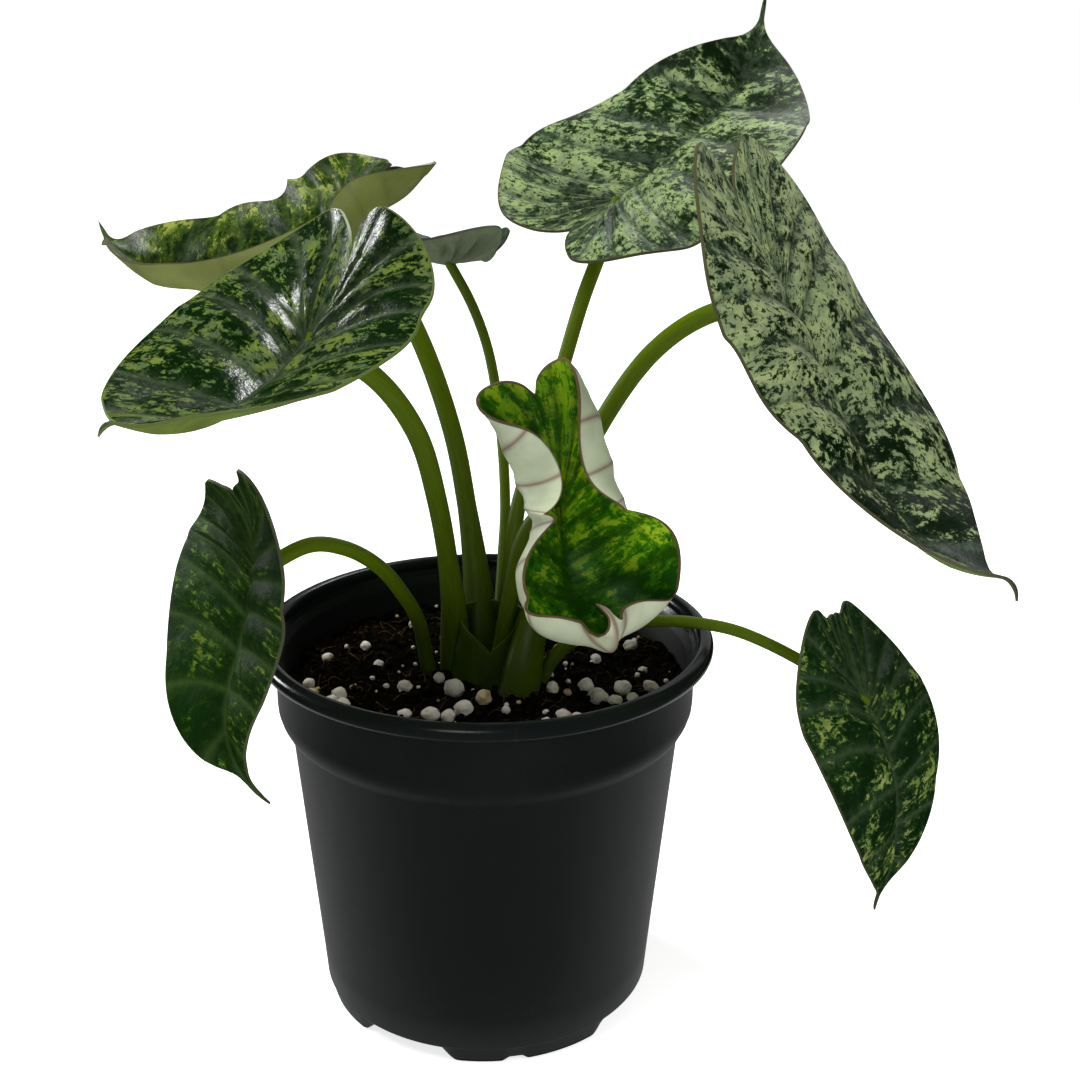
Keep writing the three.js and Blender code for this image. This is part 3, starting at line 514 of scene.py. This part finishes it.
def add_uv(mesh, name, places):
    """A UV map from one place a point."""
    corners = np.empty(len(mesh.loops), np.int32)
    mesh.loops.foreach_get("vertex_index", corners)
    layer = mesh.uv_layers.new(name=name)
    layer.data.foreach_set("uv", np.asarray(places)[corners].ravel())


def add_values(mesh, name, values):
    """A named number for each point, which the materials read."""
    mesh.attributes.new(name, "FLOAT", "POINT").data.foreach_set("value", values)


def ring(radius, z, count):
    """Points at even angles on a level circle."""
    angles = [2 * math.pi * k / count for k in range(count)]
    return [(radius * math.cos(a), radius * math.sin(a), z) for a in angles]


def on_soil(draw, reach):
    """A random place on the soil, within a distance of the middle."""
    r = reach * math.sqrt(draw.random())
    angle = draw.uniform(0, 2 * math.pi)
    return r * math.cos(angle), r * math.sin(angle)


def smooth_step(t):
    t = np.clip(t, 0, 1)
    return t * t * (3 - 2 * t)


def grid_faces(rows, columns, closed=False, flip=False, start=0):
    """Quads of a grid of points that is stored row by row."""
    width = columns if closed else columns + 1
    faces = []
    for i in range(rows):
        for j in range(columns):
            a = start + i * width + j
            b = start + i * width + (j + 1) % width
            quad = (a, b, b + width, a + width)
            faces.append(quad[::-1] if flip else quad)
    return faces


def outline_points(size):
    """The flat outline of half a blade, from the end of the drip tip round to the cleft."""
    length, width, lobe, cleft, tail = size.values()
    return np.array([
        (0, length + tail),
        (TAIL_WIDTH, length + 0.55 * tail),
        (TAIL_WIDTH + 0.4, length + 0.05 * tail),
        (TAIL_WIDTH + 0.09 * width, 0.93 * length),
        (0.4 * width, 0.74 * length),
        (0.78 * width, 0.45 * length),
        (0.97 * width, 0.18 * length),
        (width, -0.05 * length),
        (0.93 * width, -0.45 * lobe),
        (0.72 * width, -0.82 * lobe),
        (0.46 * width, -lobe),
        (0.22 * width, -0.9 * lobe),
        (0.07 * width, -(cleft + 0.35 * (lobe - cleft))),
        (0, -cleft),
    ])


def outline_at(points, place):
    """Points of a Catmull-Rom curve at places counted in its corners."""
    padded = np.vstack([2 * points[0] - points[1], points, 2 * points[-1] - points[-2]])
    i = np.minimum(place.astype(int), len(points) - 2)
    t = (place - i)[:, None]
    p0, p1, p2, p3 = (padded[i + k] for k in range(4))
    return 0.5 * (2 * p1 + (p2 - p0) * t + (2 * p0 - 5 * p1 + 4 * p2 - p3) * t**2
                  + (3 * p1 - 3 * p2 + p3 - p0) * t**3)


def midrib_frames(leaf):
    """The midrib as a chain of frames: distance, place, up and right."""
    size, bend, swerve, twist = leaf["size"], leaf["bend"], leaf["swerve"], leaf["twist"]
    heading, pitch = leaf["heading"] * DEGREE, leaf["pitch"] * DEGREE
    forward = Vector((math.cos(pitch) * math.cos(heading), math.cos(pitch) * math.sin(heading),
                      math.sin(pitch)))
    up = Vector((-math.sin(pitch) * math.cos(heading), -math.sin(pitch) * math.sin(heading),
                 math.cos(pitch)))
    up.rotate(Matrix.Rotation(leaf["roll"] * DEGREE, 3, forward))
    start = (0.0, Vector(leaf["attach"]), forward, up, forward.cross(up))

    def turn_axes(chain_frame, bend_by, swerve_by, twist_by):
        _, _, forward, up, right = chain_frame
        turn = (Matrix.Rotation(-bend_by, 3, right) @ Matrix.Rotation(-swerve_by, 3, up)
                @ Matrix.Rotation(twist_by, 3, forward))
        return [turn @ axis for axis in (forward, up, right)]

    def walk(start_frame, length, steps, bend_angle, swerve_angle, twist_angle):
        at = start_frame
        frames = []
        share = DEGREE / steps * math.copysign(1, length)
        step = length / steps
        for _ in range(steps):
            b, s, t = bend_angle * share, swerve_angle * share, twist_angle * share
            half = turn_axes(at, b / 2, s / 2, 0)[0]
            at = (at[0] + step, at[1] + half * step, *turn_axes(at, b, s, t))
            frames.append(at)
        return frames

    base = walk(start, size["length"] / 2, 14, bend["base"], swerve["base"], twist["base"])
    tip = walk(base[-1], size["length"] / 2, 14, bend["tip"], swerve["tip"], twist["tip"])
    tail = walk(tip[-1], size["tail"], 6, bend["tail"], 0, 0)
    lobe = walk(start, -size["lobe"], 14, bend["lobe"], 0, twist["lobe"])
    chain = [*reversed(lobe), start, *base, *tip, *tail]
    return tuple(np.array([f[k] for f in chain]) for k in (0, 1, 3, 4))


def along_blade(values, size, y):
    """Fold or curl of one half at places along the midrib. Both fade out towards the tip."""
    keys = np.array([-size["lobe"], 0, size["length"] / 2, size["length"]])
    i = np.clip(np.searchsorted(keys, y) - 1, 0, 2)
    t = smooth_step((y - keys[i]) / (keys[i + 1] - keys[i]))
    values = np.array(values, float)
    fade = 1 - smooth_step((y / size["length"] - FLAT_TIP) / (1 - FLAT_TIP))
    return (values[i] * (1 - t) + values[i + 1] * t) * fade * DEGREE


def flat_half(leaf):
    """Flat points of half a blade on a grid of side veins by span, and the vein lengths."""
    size = leaf["size"]
    vein = np.linspace(0, LAST_VEIN, LAST_VEIN * ROWS_PER_VEIN + 1)
    numbers = np.arange(LAST_VEIN + 1)
    start = np.interp(vein, numbers, VEIN_START)[:, None] * size["length"]
    bow = np.interp(vein, numbers, VEIN_BOW)[:, None]
    ends = outline_at(outline_points(size), np.interp(vein, numbers, VEIN_END))
    end_x, end_y = ends[:, :1], ends[:, 1:]
    span = np.linspace(0, 1, SPAN_STEPS + 1)[None, :]
    middle_x = np.maximum(end_x / 2 + bow * (end_y - start), 0)
    middle_y = (start + end_y) / 2 - bow * end_x
    b, c = 2 * span * (1 - span), span**2
    x = b * middle_x + c * end_x
    y = (1 - span) ** 2 * start + b * middle_y + c * end_y
    reach = np.hypot(end_x, end_y - start)
    return vein[:, None] + 0 * x, span + 0 * x, x, y, reach + 0 * x


def blade_relief(leaf, vein, span, x, reach, side):
    """Bulges between the side veins, and low pillows between the cross veins."""
    across = np.abs(np.sin(math.pi * vein)) ** 1.2
    along = np.clip(np.sin(math.pi * np.minimum(1, 0.08 + span * 0.92)), 0, 1) ** 0.7
    crowding = np.clip((LAST_VEIN - vein) / 2, 0, 1) * smooth_step(x / QUILT_START)
    strip = np.floor(vein)
    phase = np.sin(strip * 12.9 + side * 4.1 + leaf["look"]["seed"]) * 3
    waves = np.abs(np.sin(math.pi * (span * reach / PILLOW_LENGTH + phase + 0.35 * np.sin(vein * 5))))
    lumps = np.sin(x * 0.32 + phase) * np.sin(span * reach * 0.21 + strip * 2.2)
    quilt = QUILT_HEIGHT * leaf["look"]["quilt"] * across * along * (1 + 0.25 * lumps)
    return (quilt + PILLOW_HEIGHT * across * along * waves**0.7) * crowding


def lifted(leaf, frames, x, y, side, height):
    """Flat points of one half, lifted into their folded and curled places."""
    half = leaf["right"] if side > 0 else leaf["left"]
    size = leaf["size"]
    fold = along_blade(half["fold"], size, y)
    curl = along_blade(half["curl"], size, y)
    curl = np.where(np.abs(curl) < 1e-3, 1e-3, curl)
    angle = fold + curl * x / size["half_width"]
    lean = angle * np.minimum(1, x / LEAN_WIDTH)
    scale = size["half_width"] / curl
    out = (np.sin(angle) - np.sin(fold)) * scale - np.sin(lean) * height
    rise = -(np.cos(angle) - np.cos(fold)) * scale + np.cos(lean) * height
    out = np.where(x < 1e-6, 0, out)
    rise = np.where(x < 1e-6, height, rise)
    distance, place, up, right = frames

    def at(values):
        return np.stack([np.interp(y, distance, values[:, k]) for k in range(3)], -1)

    return at(place) + side * at(right) * out[..., None] + at(up) * rise[..., None]


def make_blade(name, leaf):
    """Both faces of both halves of a blade, joined along the margin."""
    frames = midrib_frames(leaf)
    vein, span, x, y, reach = flat_half(leaf)
    rows, columns = vein.shape[0] - 1, vein.shape[1] - 1
    spacing = np.hypot(np.gradient(x, axis=0), np.gradient(y, axis=0)) * ROWS_PER_VEIN
    off_vein = np.abs(vein - np.round(vein)) * spacing
    midrib = np.where(y > -2, x, 99)
    nearest = np.minimum(off_vein, midrib)
    rim = np.exp(-np.hypot(x - x[:, -1:], y - y[:, -1:]) / RIM_WIDTH)
    keel = np.exp(-((x / KEEL_WIDTH) ** 2)) * np.clip((leaf["size"]["length"] - y) / 12, 0, 1)
    keel = keel * smooth_step(1 + y / 3)
    points, faces, slots = [], [], []
    values = {"rib": [], "wide_rib": [], "rim": [], "tipward": []}
    uvs = {"flat": [], "grain": []}
    count = vein.size
    for side in (1, -1):
        relief = blade_relief(leaf, vein, span, x, reach, side)
        for face in (1, -1):
            ridge = (KEEL_DEPTH if face < 0 else GROOVE_DEPTH) * keel
            height = relief + face * BLADE_THICKNESS / 2 - ridge
            start = len(points) * count
            points.append(lifted(leaf, frames, x, y, side, height).reshape(-1, 3))
            made = grid_faces(rows, columns, flip=side * face > 0, start=start)
            faces += made
            slots += [0 if face > 0 else 1] * len(made)
            values["rib"].append(np.exp(-((nearest / RIB_WIDTH) ** 2)).ravel())
            values["wide_rib"].append(np.exp(-((nearest / WIDE_RIB_WIDTH) ** 2)).ravel())
            values["rim"].append(rim.ravel())
            values["tipward"].append(np.clip(y / leaf["size"]["length"], 0, 1).ravel())
            uvs["flat"].append(np.stack([side * x / 10 + 20, y / 10 + 20], -1).reshape(-1, 2))
            grain = np.stack([span * reach / 10, vein * 0.7 + side * 30 + 40], -1)
            uvs["grain"].append(grain.reshape(-1, 2))
        top = (len(points) - 2) * count
        under = (len(points) - 1) * count
        for i in range(rows):
            a, b = i * (columns + 1) + columns, (i + 1) * (columns + 1) + columns
            quad = (top + a, top + b, under + b, under + a)
            faces.append(quad if side > 0 else quad[::-1])
            slots.append(1)
    look = leaf["look"]
    materials = [blade_top(name + "_top", look), blade_underside(name + "_underside", look)]
    made = make_object(name, np.concatenate(points), faces, materials)
    mesh = made.data
    mesh.polygons.foreach_set("material_index", slots)
    for key, parts in uvs.items():
        add_uv(mesh, key, np.concatenate(parts))
    for key, parts in values.items():
        add_values(mesh, key, np.concatenate(parts))
    weld(mesh)
    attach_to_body(made, "root")
    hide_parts(name)
    return made


def weld(mesh, sharp=50):
    """Join coincident points, drop collapsed faces and shade smooth but for sharp edges."""
    work = bmesh.new()
    work.from_mesh(mesh)
    bmesh.ops.remove_doubles(work, verts=work.verts, dist=4e-6)
    bmesh.ops.dissolve_degenerate(work, edges=work.edges, dist=1e-6)
    work.to_mesh(mesh)
    work.free()
    mesh.shade_smooth()
    mesh.set_sharp_from_angle(angle=sharp * DEGREE)


def smooth_path(points, samples=400):
    """A centripetal Catmull-Rom curve through points, with samples at even distances."""
    points = np.array(points, float)
    padded = np.vstack([2 * points[0] - points[1], points, 2 * points[-1] - points[-2]])
    found = []
    for i in range(len(points) - 1):
        p0, p1, p2, p3 = padded[i:i + 4]
        d0, d1, d2 = (math.sqrt(np.linalg.norm(b - a)) for a, b in ((p0, p1), (p1, p2), (p2, p3)))
        m1 = ((p1 - p0) / d0 - (p2 - p0) / (d0 + d1) + (p2 - p1) / d1) * d1
        m2 = ((p2 - p1) / d1 - (p3 - p1) / (d1 + d2) + (p3 - p2) / d2) * d1
        t = np.linspace(0, 1, 60, endpoint=i == len(points) - 2)[:, None]
        found.append(p1 + m1 * t + (-3 * p1 + 3 * p2 - 2 * m1 - m2) * t**2
                     + (2 * p1 - 2 * p2 + m1 + m2) * t**3)
    curve = np.vstack(found)
    run = np.concatenate([[0], np.cumsum(np.linalg.norm(np.diff(curve, axis=0), axis=1))])
    even = np.linspace(0, run[-1], samples)
    return np.stack([np.interp(even, run, curve[:, k]) for k in range(3)], -1), run[-1]


def make_petiole(name, leaf, material):
    """A stalk that widens into a sheath with two wings towards the crown."""
    path, length = smooth_path([*leaf["path"], leaf["attach"]], PETIOLE_STEPS + 1)
    tangents = np.gradient(path, axis=0)
    tangents /= np.linalg.norm(tangents, axis=1)[:, None]
    across = np.array([1.0, 0, 0])
    outward = np.array([leaf["attach"][0], leaf["attach"][1], 0.0])
    outward /= np.linalg.norm(outward)
    points, along, sheath, stalk = [], [], [], []
    for i, (centre, tangent) in enumerate(zip(path, tangents)):
        t = i / PETIOLE_STEPS
        across = across - tangent * across.dot(tangent)
        across /= np.linalg.norm(across)
        over = np.cross(tangent, across)
        flare = max(0, 1 - t / SHEATH_SHARE) ** SHEATH_FLARE
        radius = leaf["radius"] + (leaf["base_radius"] - leaf["radius"]) * flare
        fade = smooth_step(1 - t / SHEATH_SHARE)
        for k in range(PETIOLE_SIDES):
            angle = 2 * math.pi * k / PETIOLE_SIDES
            ray = across * math.cos(angle) + over * math.sin(angle)
            inward = -ray.dot(outward)
            wing = math.exp(-(((inward - 0.55) / 0.16) ** 2)) * fade
            points.append(centre + ray * radius * (1 + WING_HEIGHT * wing))
            along.append(t)
            sheath.append(wing)
            stalk.append((k / PETIOLE_SIDES, t * length / 10))
    faces = grid_faces(PETIOLE_STEPS, PETIOLE_SIDES, closed=True)
    last = PETIOLE_STEPS * PETIOLE_SIDES
    faces.append(tuple(reversed(range(PETIOLE_SIDES))))
    faces.append(tuple(range(last, last + PETIOLE_SIDES)))
    made = make_object(name, points, faces, [material])
    mesh = made.data
    add_uv(mesh, "stalk", stalk)
    add_values(mesh, "along", along)
    add_values(mesh, "sheath", sheath)
    mesh.shade_smooth()
    mesh.set_sharp_from_angle(angle=60 * DEGREE)
    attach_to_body(made, "root")
    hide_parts(name)


def make_crown(material):
    """The leaf bases wrap each other round the crown and leave a V at the front."""
    points, along, edge = [], [], []
    for wall in (0, COLLAR_WALL):
        for row in range(COLLAR_ROWS + 1):
            share = row / COLLAR_ROWS if wall == 0 else 1 - row / COLLAR_ROWS
            for k in range(COLLAR_SIDES):
                angle = 2 * math.pi * k / COLLAR_SIDES
                front = abs((angle / math.pi - 1.5 + 1) % 2 - 1) * 180
                top = COLLAR_NOTCH + (COLLAR_TOP - COLLAR_NOTCH) * min(1, front / COLLAR_SPREAD) ** 0.8
                shrink = 1 - COLLAR_TAPER * share * (top - COLLAR_FOOT) / (COLLAR_TOP - COLLAR_FOOT)
                ripple = 1 + 0.03 * math.sin(5 * angle + 1)
                x = COLLAR_X + (COLLAR_WIDTH * shrink * ripple - wall) * math.cos(angle)
                y = COLLAR_Y + (COLLAR_DEPTH * shrink * ripple - wall) * math.sin(angle)
                points.append((x, y, COLLAR_FOOT + share * (top - COLLAR_FOOT)))
                along.append(0.14 * share)
                edge.append(max(0.0, 12 * share - 11))
    faces = grid_faces(2 * COLLAR_ROWS + 1, COLLAR_SIDES, closed=True)
    made = make_object("crown_sheath", points, faces, [material])
    mesh = made.data
    add_uv(mesh, "stalk", [(k % COLLAR_SIDES / COLLAR_SIDES, p[2] / 10) for k, p in enumerate(points)])
    add_values(mesh, "along", along)
    add_values(mesh, "sheath", edge)
    weld(mesh)
    fix_normals(mesh)
    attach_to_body(made, "root")


def pot_profile():
    bead_centre = RIM_RADIUS - RIM_BEAD
    bead_height = POT_HEIGHT - RIM_BEAD
    turns = [a * DEGREE for a in range(-75, 200, 15)]
    bead = [(bead_centre + RIM_BEAD * math.cos(a), bead_height + RIM_BEAD * math.sin(a)) for a in turns]
    floor_top = FLOOR_LIFT + WALL
    inner_band = BAND_RADIUS - WALL
    return [
        (0, 0), (FLOOR_RADIUS, 0), (FLOOR_RADIUS + 1.5, FLOOR_LIFT), (BASE_RADIUS - 1, FLOOR_LIFT),
        (BASE_RADIUS - 0.65, FLOOR_LIFT + 0.5), (BASE_RADIUS, BASE_HEIGHT),
        (SHOULDER_RADIUS - 0.05, SHOULDER_HEIGHT - 0.4), (SHOULDER_RADIUS + 0.25, SHOULDER_HEIGHT),
        (SHOULDER_RADIUS + 1.4, SHOULDER_HEIGHT + 1.1), (BAND_RADIUS - 0.7, SHOULDER_HEIGHT + 3),
        (BAND_RADIUS - 0.15, SHOULDER_HEIGHT + 4.8), (BAND_RADIUS, SHOULDER_HEIGHT + 6.5),
        (BAND_RADIUS, bead_height - RIM_BEAD - 1.2), (BAND_RADIUS + 0.3, bead_height - RIM_BEAD - 0.3),
        *bead,
        (inner_band, bead_height - 3.4), (inner_band - 0.4, bead_height - 4),
        (inner_band - 0.4, SHOULDER_HEIGHT + 6), (SHOULDER_RADIUS - WALL, SHOULDER_HEIGHT),
        (BASE_RADIUS - WALL, BASE_HEIGHT), (BASE_RADIUS - WALL - 1.5, floor_top + 2),
        (BASE_RADIUS - WALL - 4, floor_top), (FLOOR_RADIUS, floor_top), (FLOOR_RADIUS - WALL, WALL),
        (0, WALL),
    ]


def turned(profile):
    """Points and faces of a profile turned about the axis."""
    points = [point for r, z in profile for point in ring(r, z, POT_SEGMENTS)]
    return points, grid_faces(len(profile) - 1, POT_SEGMENTS, closed=True)


def foot(start, sweep):
    """A foot ring segment with slanted ends and a shallow notch in its lower edge."""
    points = []
    top = FLOOR_LIFT + 0.5
    for step in range(FOOT_STEPS + 1):
        turn = sweep * step / FOOT_STEPS
        end = float(smooth_step(min(turn, sweep - turn) / FOOT_RAMP))
        dip = float(smooth_step(1.6 - 1.6 * abs(turn - NOTCH_TURN) / NOTCH_WIDTH))
        low = max(top * (1 - end), NOTCH_HEIGHT * dip)
        angle = (start + turn) * DEGREE
        edge = low + 0.1 * (top - low)
        section = ((FOOT_INNER, top), (FOOT_INNER, edge), (FOOT_INNER + 0.5, low),
                   (FOOT_OUTER - 0.5, low), (FOOT_OUTER + 0.1, edge), (BASE_RADIUS - 0.8, top))
        points += [(r * math.cos(angle), r * math.sin(angle), z) for r, z in section]
    return points, grid_faces(FOOT_STEPS, 6, closed=True)


def make_pot():
    points, faces = turned(pot_profile())
    first = FIRST_GAP + WIDE_GAP / 2
    for quarter in range(4):
        foot_points, foot_faces = foot(first + quarter * FOOT_PERIOD, FOOT_PERIOD - WIDE_GAP)
        base = len(points)
        points += foot_points
        faces += [tuple(base + i for i in face) for face in foot_faces]
    made = make_object("pot_shell", points, faces, [pot_finish()])
    weld(made.data, 35)
    fix_normals(made.data)
    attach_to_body(made, "root")
    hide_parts("pot")
    return made


def fix_normals(mesh):
    work = bmesh.new()
    work.from_mesh(mesh)
    bmesh.ops.recalc_face_normals(work, faces=work.faces)
    work.to_mesh(mesh)
    work.free()


def soil_height(x, y):
    """The bumpy soil: two crossed ripples and a slight mound under the crown."""
    ripple = np.sin(x * 0.31 + y * 0.17) + np.sin(x * 0.13 - y * 0.37 + 1.3)
    fine = np.sin(x * 0.71 + 2 * np.sin(y * 0.23)) * np.sin(y * 0.63 + 0.7)
    mound = SOIL_CROWN * np.exp(-(x * x + y * y) / 350)
    return SOIL_LEVEL + mound + SOIL_RELIEF * (0.35 * ripple + 0.5 * fine)


def make_soil():
    """The bumpy surface with small clods, and a plain side down into the pot."""
    radius = BAND_RADIUS - WALL - SOIL_GAP
    points = []
    for step in range(SOIL_RINGS + 1):
        r = radius * math.sqrt(step / SOIL_RINGS)
        for x, y, _ in ring(r, 0, SOIL_SECTORS):
            clods = noise.fractal(Vector((x * 0.33, y * 0.33, 3.1)), 0.9, 2.1, 5)
            clods = max(clods, -0.5) * CLOD_SIZE * min(1, (radius - r) / 1.5 + 0.35)
            points.append((x, y, float(soil_height(x, y)) + clods))
    points += ring(radius, SHOULDER_HEIGHT + 6, SOIL_SECTORS)
    points += ring(SHOULDER_RADIUS - WALL - SOIL_GAP, SHOULDER_HEIGHT, SOIL_SECTORS)
    faces = grid_faces(SOIL_RINGS + 2, SOIL_SECTORS, closed=True, flip=True)
    last = (SOIL_RINGS + 2) * SOIL_SECTORS
    faces.append(tuple(range(last, last + SOIL_SECTORS)))
    made = make_object("soil_surface", points, faces, [soil_finish()])
    weld(made.data, 180)
    fix_normals(made.data)
    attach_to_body(made, "root")
    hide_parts("soil")


def bead(work, centre, radius, detail, draw, squash=0.2):
    """A rough rounded lump."""
    made = bmesh.ops.create_icosphere(work, subdivisions=detail, radius=1)
    stretch = Vector((1 + squash * draw.uniform(-1, 1), 1 + squash * draw.uniform(-1, 1),
                      1 - squash * draw.random()))
    spin = Matrix.Rotation(draw.uniform(0, 6.3), 3, "Z")
    turn = spin @ Matrix.Rotation(draw.uniform(-0.5, 0.5), 3, "X")
    offset = Vector((draw.uniform(0, 50), draw.uniform(0, 50), 0))
    for vertex in made["verts"]:
        way = vertex.co.copy()
        lump = 1 + 0.16 * noise.noise(way * 1.6 + offset) + 0.07 * noise.noise(way * 4.5 + offset)
        shape = Vector((way.x * stretch.x, way.y * stretch.y, way.z * stretch.z)) * lump * radius
        vertex.co = (turn @ shape + centre) * MM


def make_perlite():
    """The placed beads, and small grains scattered among them."""
    draw = random.Random(4)
    white, tan = bmesh.new(), bmesh.new()
    for i, (x, y, diameter) in enumerate(PERLITE):
        z = float(soil_height(x, y)) + diameter * (0.5 - PERLITE_SINK)
        bead(tan if i % 7 == 3 else white, Vector((x, y, z)), diameter / 2, 4, draw)
    for _ in range(PERLITE_GRAINS):
        x, y = on_soil(draw, GRAIN_REACH)
        size = draw.uniform(0.5, 1.5)
        z = float(soil_height(x, y)) + size * 0.5
        bead(tan if draw.random() < 0.35 else white, Vector((x, y, z)), size / 2, 2, draw)
    clean = perlite_finish("perlite_white", (0.66, 0.62, 0.54), (0.42, 0.36, 0.26))
    stained = perlite_finish("perlite_tan", (0.50, 0.40, 0.22), (0.30, 0.20, 0.10))
    finish_lumps("perlite_white", white, clean)
    finish_lumps("perlite_tan", tan, stained)


def make_crumbs():
    draw = random.Random(9)
    crumbs = bmesh.new()
    for _ in range(CRUMBS):
        x, y = on_soil(draw, SOIL_REACH)
        size = draw.uniform(0.6, 2.2)
        bead(crumbs, Vector((x, y, float(soil_height(x, y)) + 0.25 * size)), size / 2, 1, draw, 0.5)
    peat = plain_finish("peat_crumb", (0.0004, 0.0003, 0.0002), (0.009, 0.006, 0.003), 600, 0.9)
    finish_lumps("soil_crumbs", crumbs, peat)


def finish_lumps(name, work, material):
    mesh = bpy.data.meshes.new(name)
    work.to_mesh(mesh)
    work.free()
    mesh.materials.append(material)
    mesh.shade_smooth()
    made = bpy.data.objects.new(name, mesh)
    bpy.context.scene.collection.objects.link(made)
    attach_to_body(made, "root")


def make_fibres():
    """Thin strands of peat that lie on the soil."""
    draw = random.Random(21)
    points, faces = [], []
    for _ in range(FIBRES):
        x, y = on_soil(draw, FIBRE_REACH)
        heading, turn = draw.uniform(0, 2 * math.pi), draw.uniform(-0.35, 0.35)
        width = draw.uniform(0.08, 0.2)
        length = draw.uniform(2, 7) / FIBRE_STEPS
        start = len(points)
        for i in range(FIBRE_STEPS + 1):
            if math.hypot(x, y) > SOIL_REACH:
                break
            z = float(soil_height(x, y)) + 0.5 + 0.5 * math.sin(i * 0.8 + heading)
            side = Vector((-math.sin(heading), math.cos(heading), 0)) * width
            points.append((x - side.x, y - side.y, z))
            points.append((x, y, z + 1.5 * width))
            points.append((x + side.x, y + side.y, z))
            x, y = x + length * math.cos(heading), y + length * math.sin(heading)
            heading += turn
        rows = (len(points) - start) // 3 - 1
        if rows > 0:
            faces += grid_faces(rows, 3, closed=True, start=start)
    peat = plain_finish("peat_fibre", (0.015, 0.009, 0.005), (0.09, 0.055, 0.028), 300, 0.8)
    made = make_object("peat_fibres", points, faces, [peat])
    made.data.shade_smooth()
    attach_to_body(made, "root")


def make_plant():
    stalk = petiole_finish("petiole_skin")
    for name, leaf in LEAVES.items():
        blade = make_blade("blade_" + name, leaf)
        if name in GLINT_LEAVES:
            bpy.data.collections["glint_only"].objects.link(blade)
        make_petiole("petiole_" + name, leaf, stalk)
    make_crown(stalk)
    bpy.data.collections["pot_only"].objects.link(make_pot())
    make_soil()
    make_perlite()
    make_crumbs()
    make_fibres()
    corm = bpy.data.objects["corm"]
    corm.data.materials.clear()
    bark = plain_finish("corm_skin", (0.10, 0.06, 0.03), (0.28, 0.19, 0.09), 200, 0.8)
    corm.data.materials.append(bark)


def make_floor():
    s = Shader("pale_floor")
    s.set("Base Color", (0.85, 0.85, 0.85))
    s.set("Roughness", 0.8)
    s.set("Specular IOR Level", 0.0)
    s.set("Emission Color", (1.0, 1.0, 1.0))
    s.set("Emission Strength", FLOOR_GLOW)
    side = FLOOR_SIDE / 2
    corners = [(-side, -side, 0), (side, -side, 0), (side, side, 0), (-side, side, 0)]
    floor = make_object("floor", corners, [(0, 1, 2, 3)], [s.material])
    floor.visible_glossy = False


def area_light(name, place, target, size, power, diffuse=True, glossy=True):
    light = bpy.data.lights.new(name, "AREA")
    light.shape = "DISK"
    light.size = size * MM
    light.energy = power
    made = bpy.data.objects.new(name, light)
    made.location = Vector(place) * MM
    made.rotation_euler = (Vector(target) - Vector(place)).to_track_quat("-Z", "Y").to_euler()
    made.visible_diffuse = diffuse
    made.visible_glossy = glossy
    bpy.context.scene.collection.objects.link(made)
    return made


def make_lights():
    area_light("key", (-400, -300, 1000), (0, 0, 120), 500, 5, glossy=False)
    area_light("fill", (800, -500, 600), (0, 0, 120), 600, 2.5, glossy=False)
    area_light("window", (-520, 470, 1050), (-30, -20, 160), 400, 12, glossy=False)
    area_light("left_glint", (-1070, 570, 400), (-50, -20, 150), 300, 9, diffuse=False)
    glint = area_light("back_glint", (250, 800, 970), (-50, -20, 150), 250, 7, diffuse=False)
    glint.light_linking.receiver_collection = bpy.data.collections.new("glint_only")
    area_light("back_soft", (250, 800, 970), (-50, -20, 150), 250, 2.6, diffuse=False)
    area_light("sheen", (300, 1100, 500), (0, 0, 130), 1100, 1.7, diffuse=False)
    area_light("front_sheen", (-300, -1300, 900), (0, 0, 60), 500, 7, diffuse=False)
    bounce = area_light("pot_bounce", (0, 150, 1), (0, 150, 100), 400, 0.28, diffuse=False)
    bounce.visible_camera = False
    bounce.light_linking.receiver_collection = bpy.data.collections.new("pot_only")
    world = bpy.data.worlds.new("studio")
    world.use_nodes = True
    background = world.node_tree.nodes["Background"]
    background.inputs["Color"].default_value = (1, 1, 1, 1)
    background.inputs["Strength"].default_value = WORLD_LIGHT
    world.cycles_visibility.glossy = False
    bpy.context.scene.world = world


def make_camera():
    aim = Vector(CAMERA_AIM).normalized()
    right = aim.cross(Vector((0, 0, 1))).normalized()
    up = right.cross(aim)
    turned_right = right * math.cos(CAMERA_ROLL) + up * math.sin(CAMERA_ROLL)
    turned_up = up * math.cos(CAMERA_ROLL) - right * math.sin(CAMERA_ROLL)
    camera = bpy.data.cameras.new("camera")
    camera.lens = CAMERA_LENS
    camera.sensor_width = CAMERA_SENSOR
    camera.clip_start = 0.01
    made = bpy.data.objects.new("camera", camera)
    basis = Matrix((turned_right, turned_up, -aim)).transposed().to_4x4()
    made.matrix_world = Matrix.Translation(Vector(CAMERA_PLACE) * MM) @ basis
    bpy.context.scene.collection.objects.link(made)
    bpy.context.scene.camera = made


make_camera()
make_lights()
make_floor()
make_plant()
bpy.context.scene.view_settings.view_transform = "Standard"
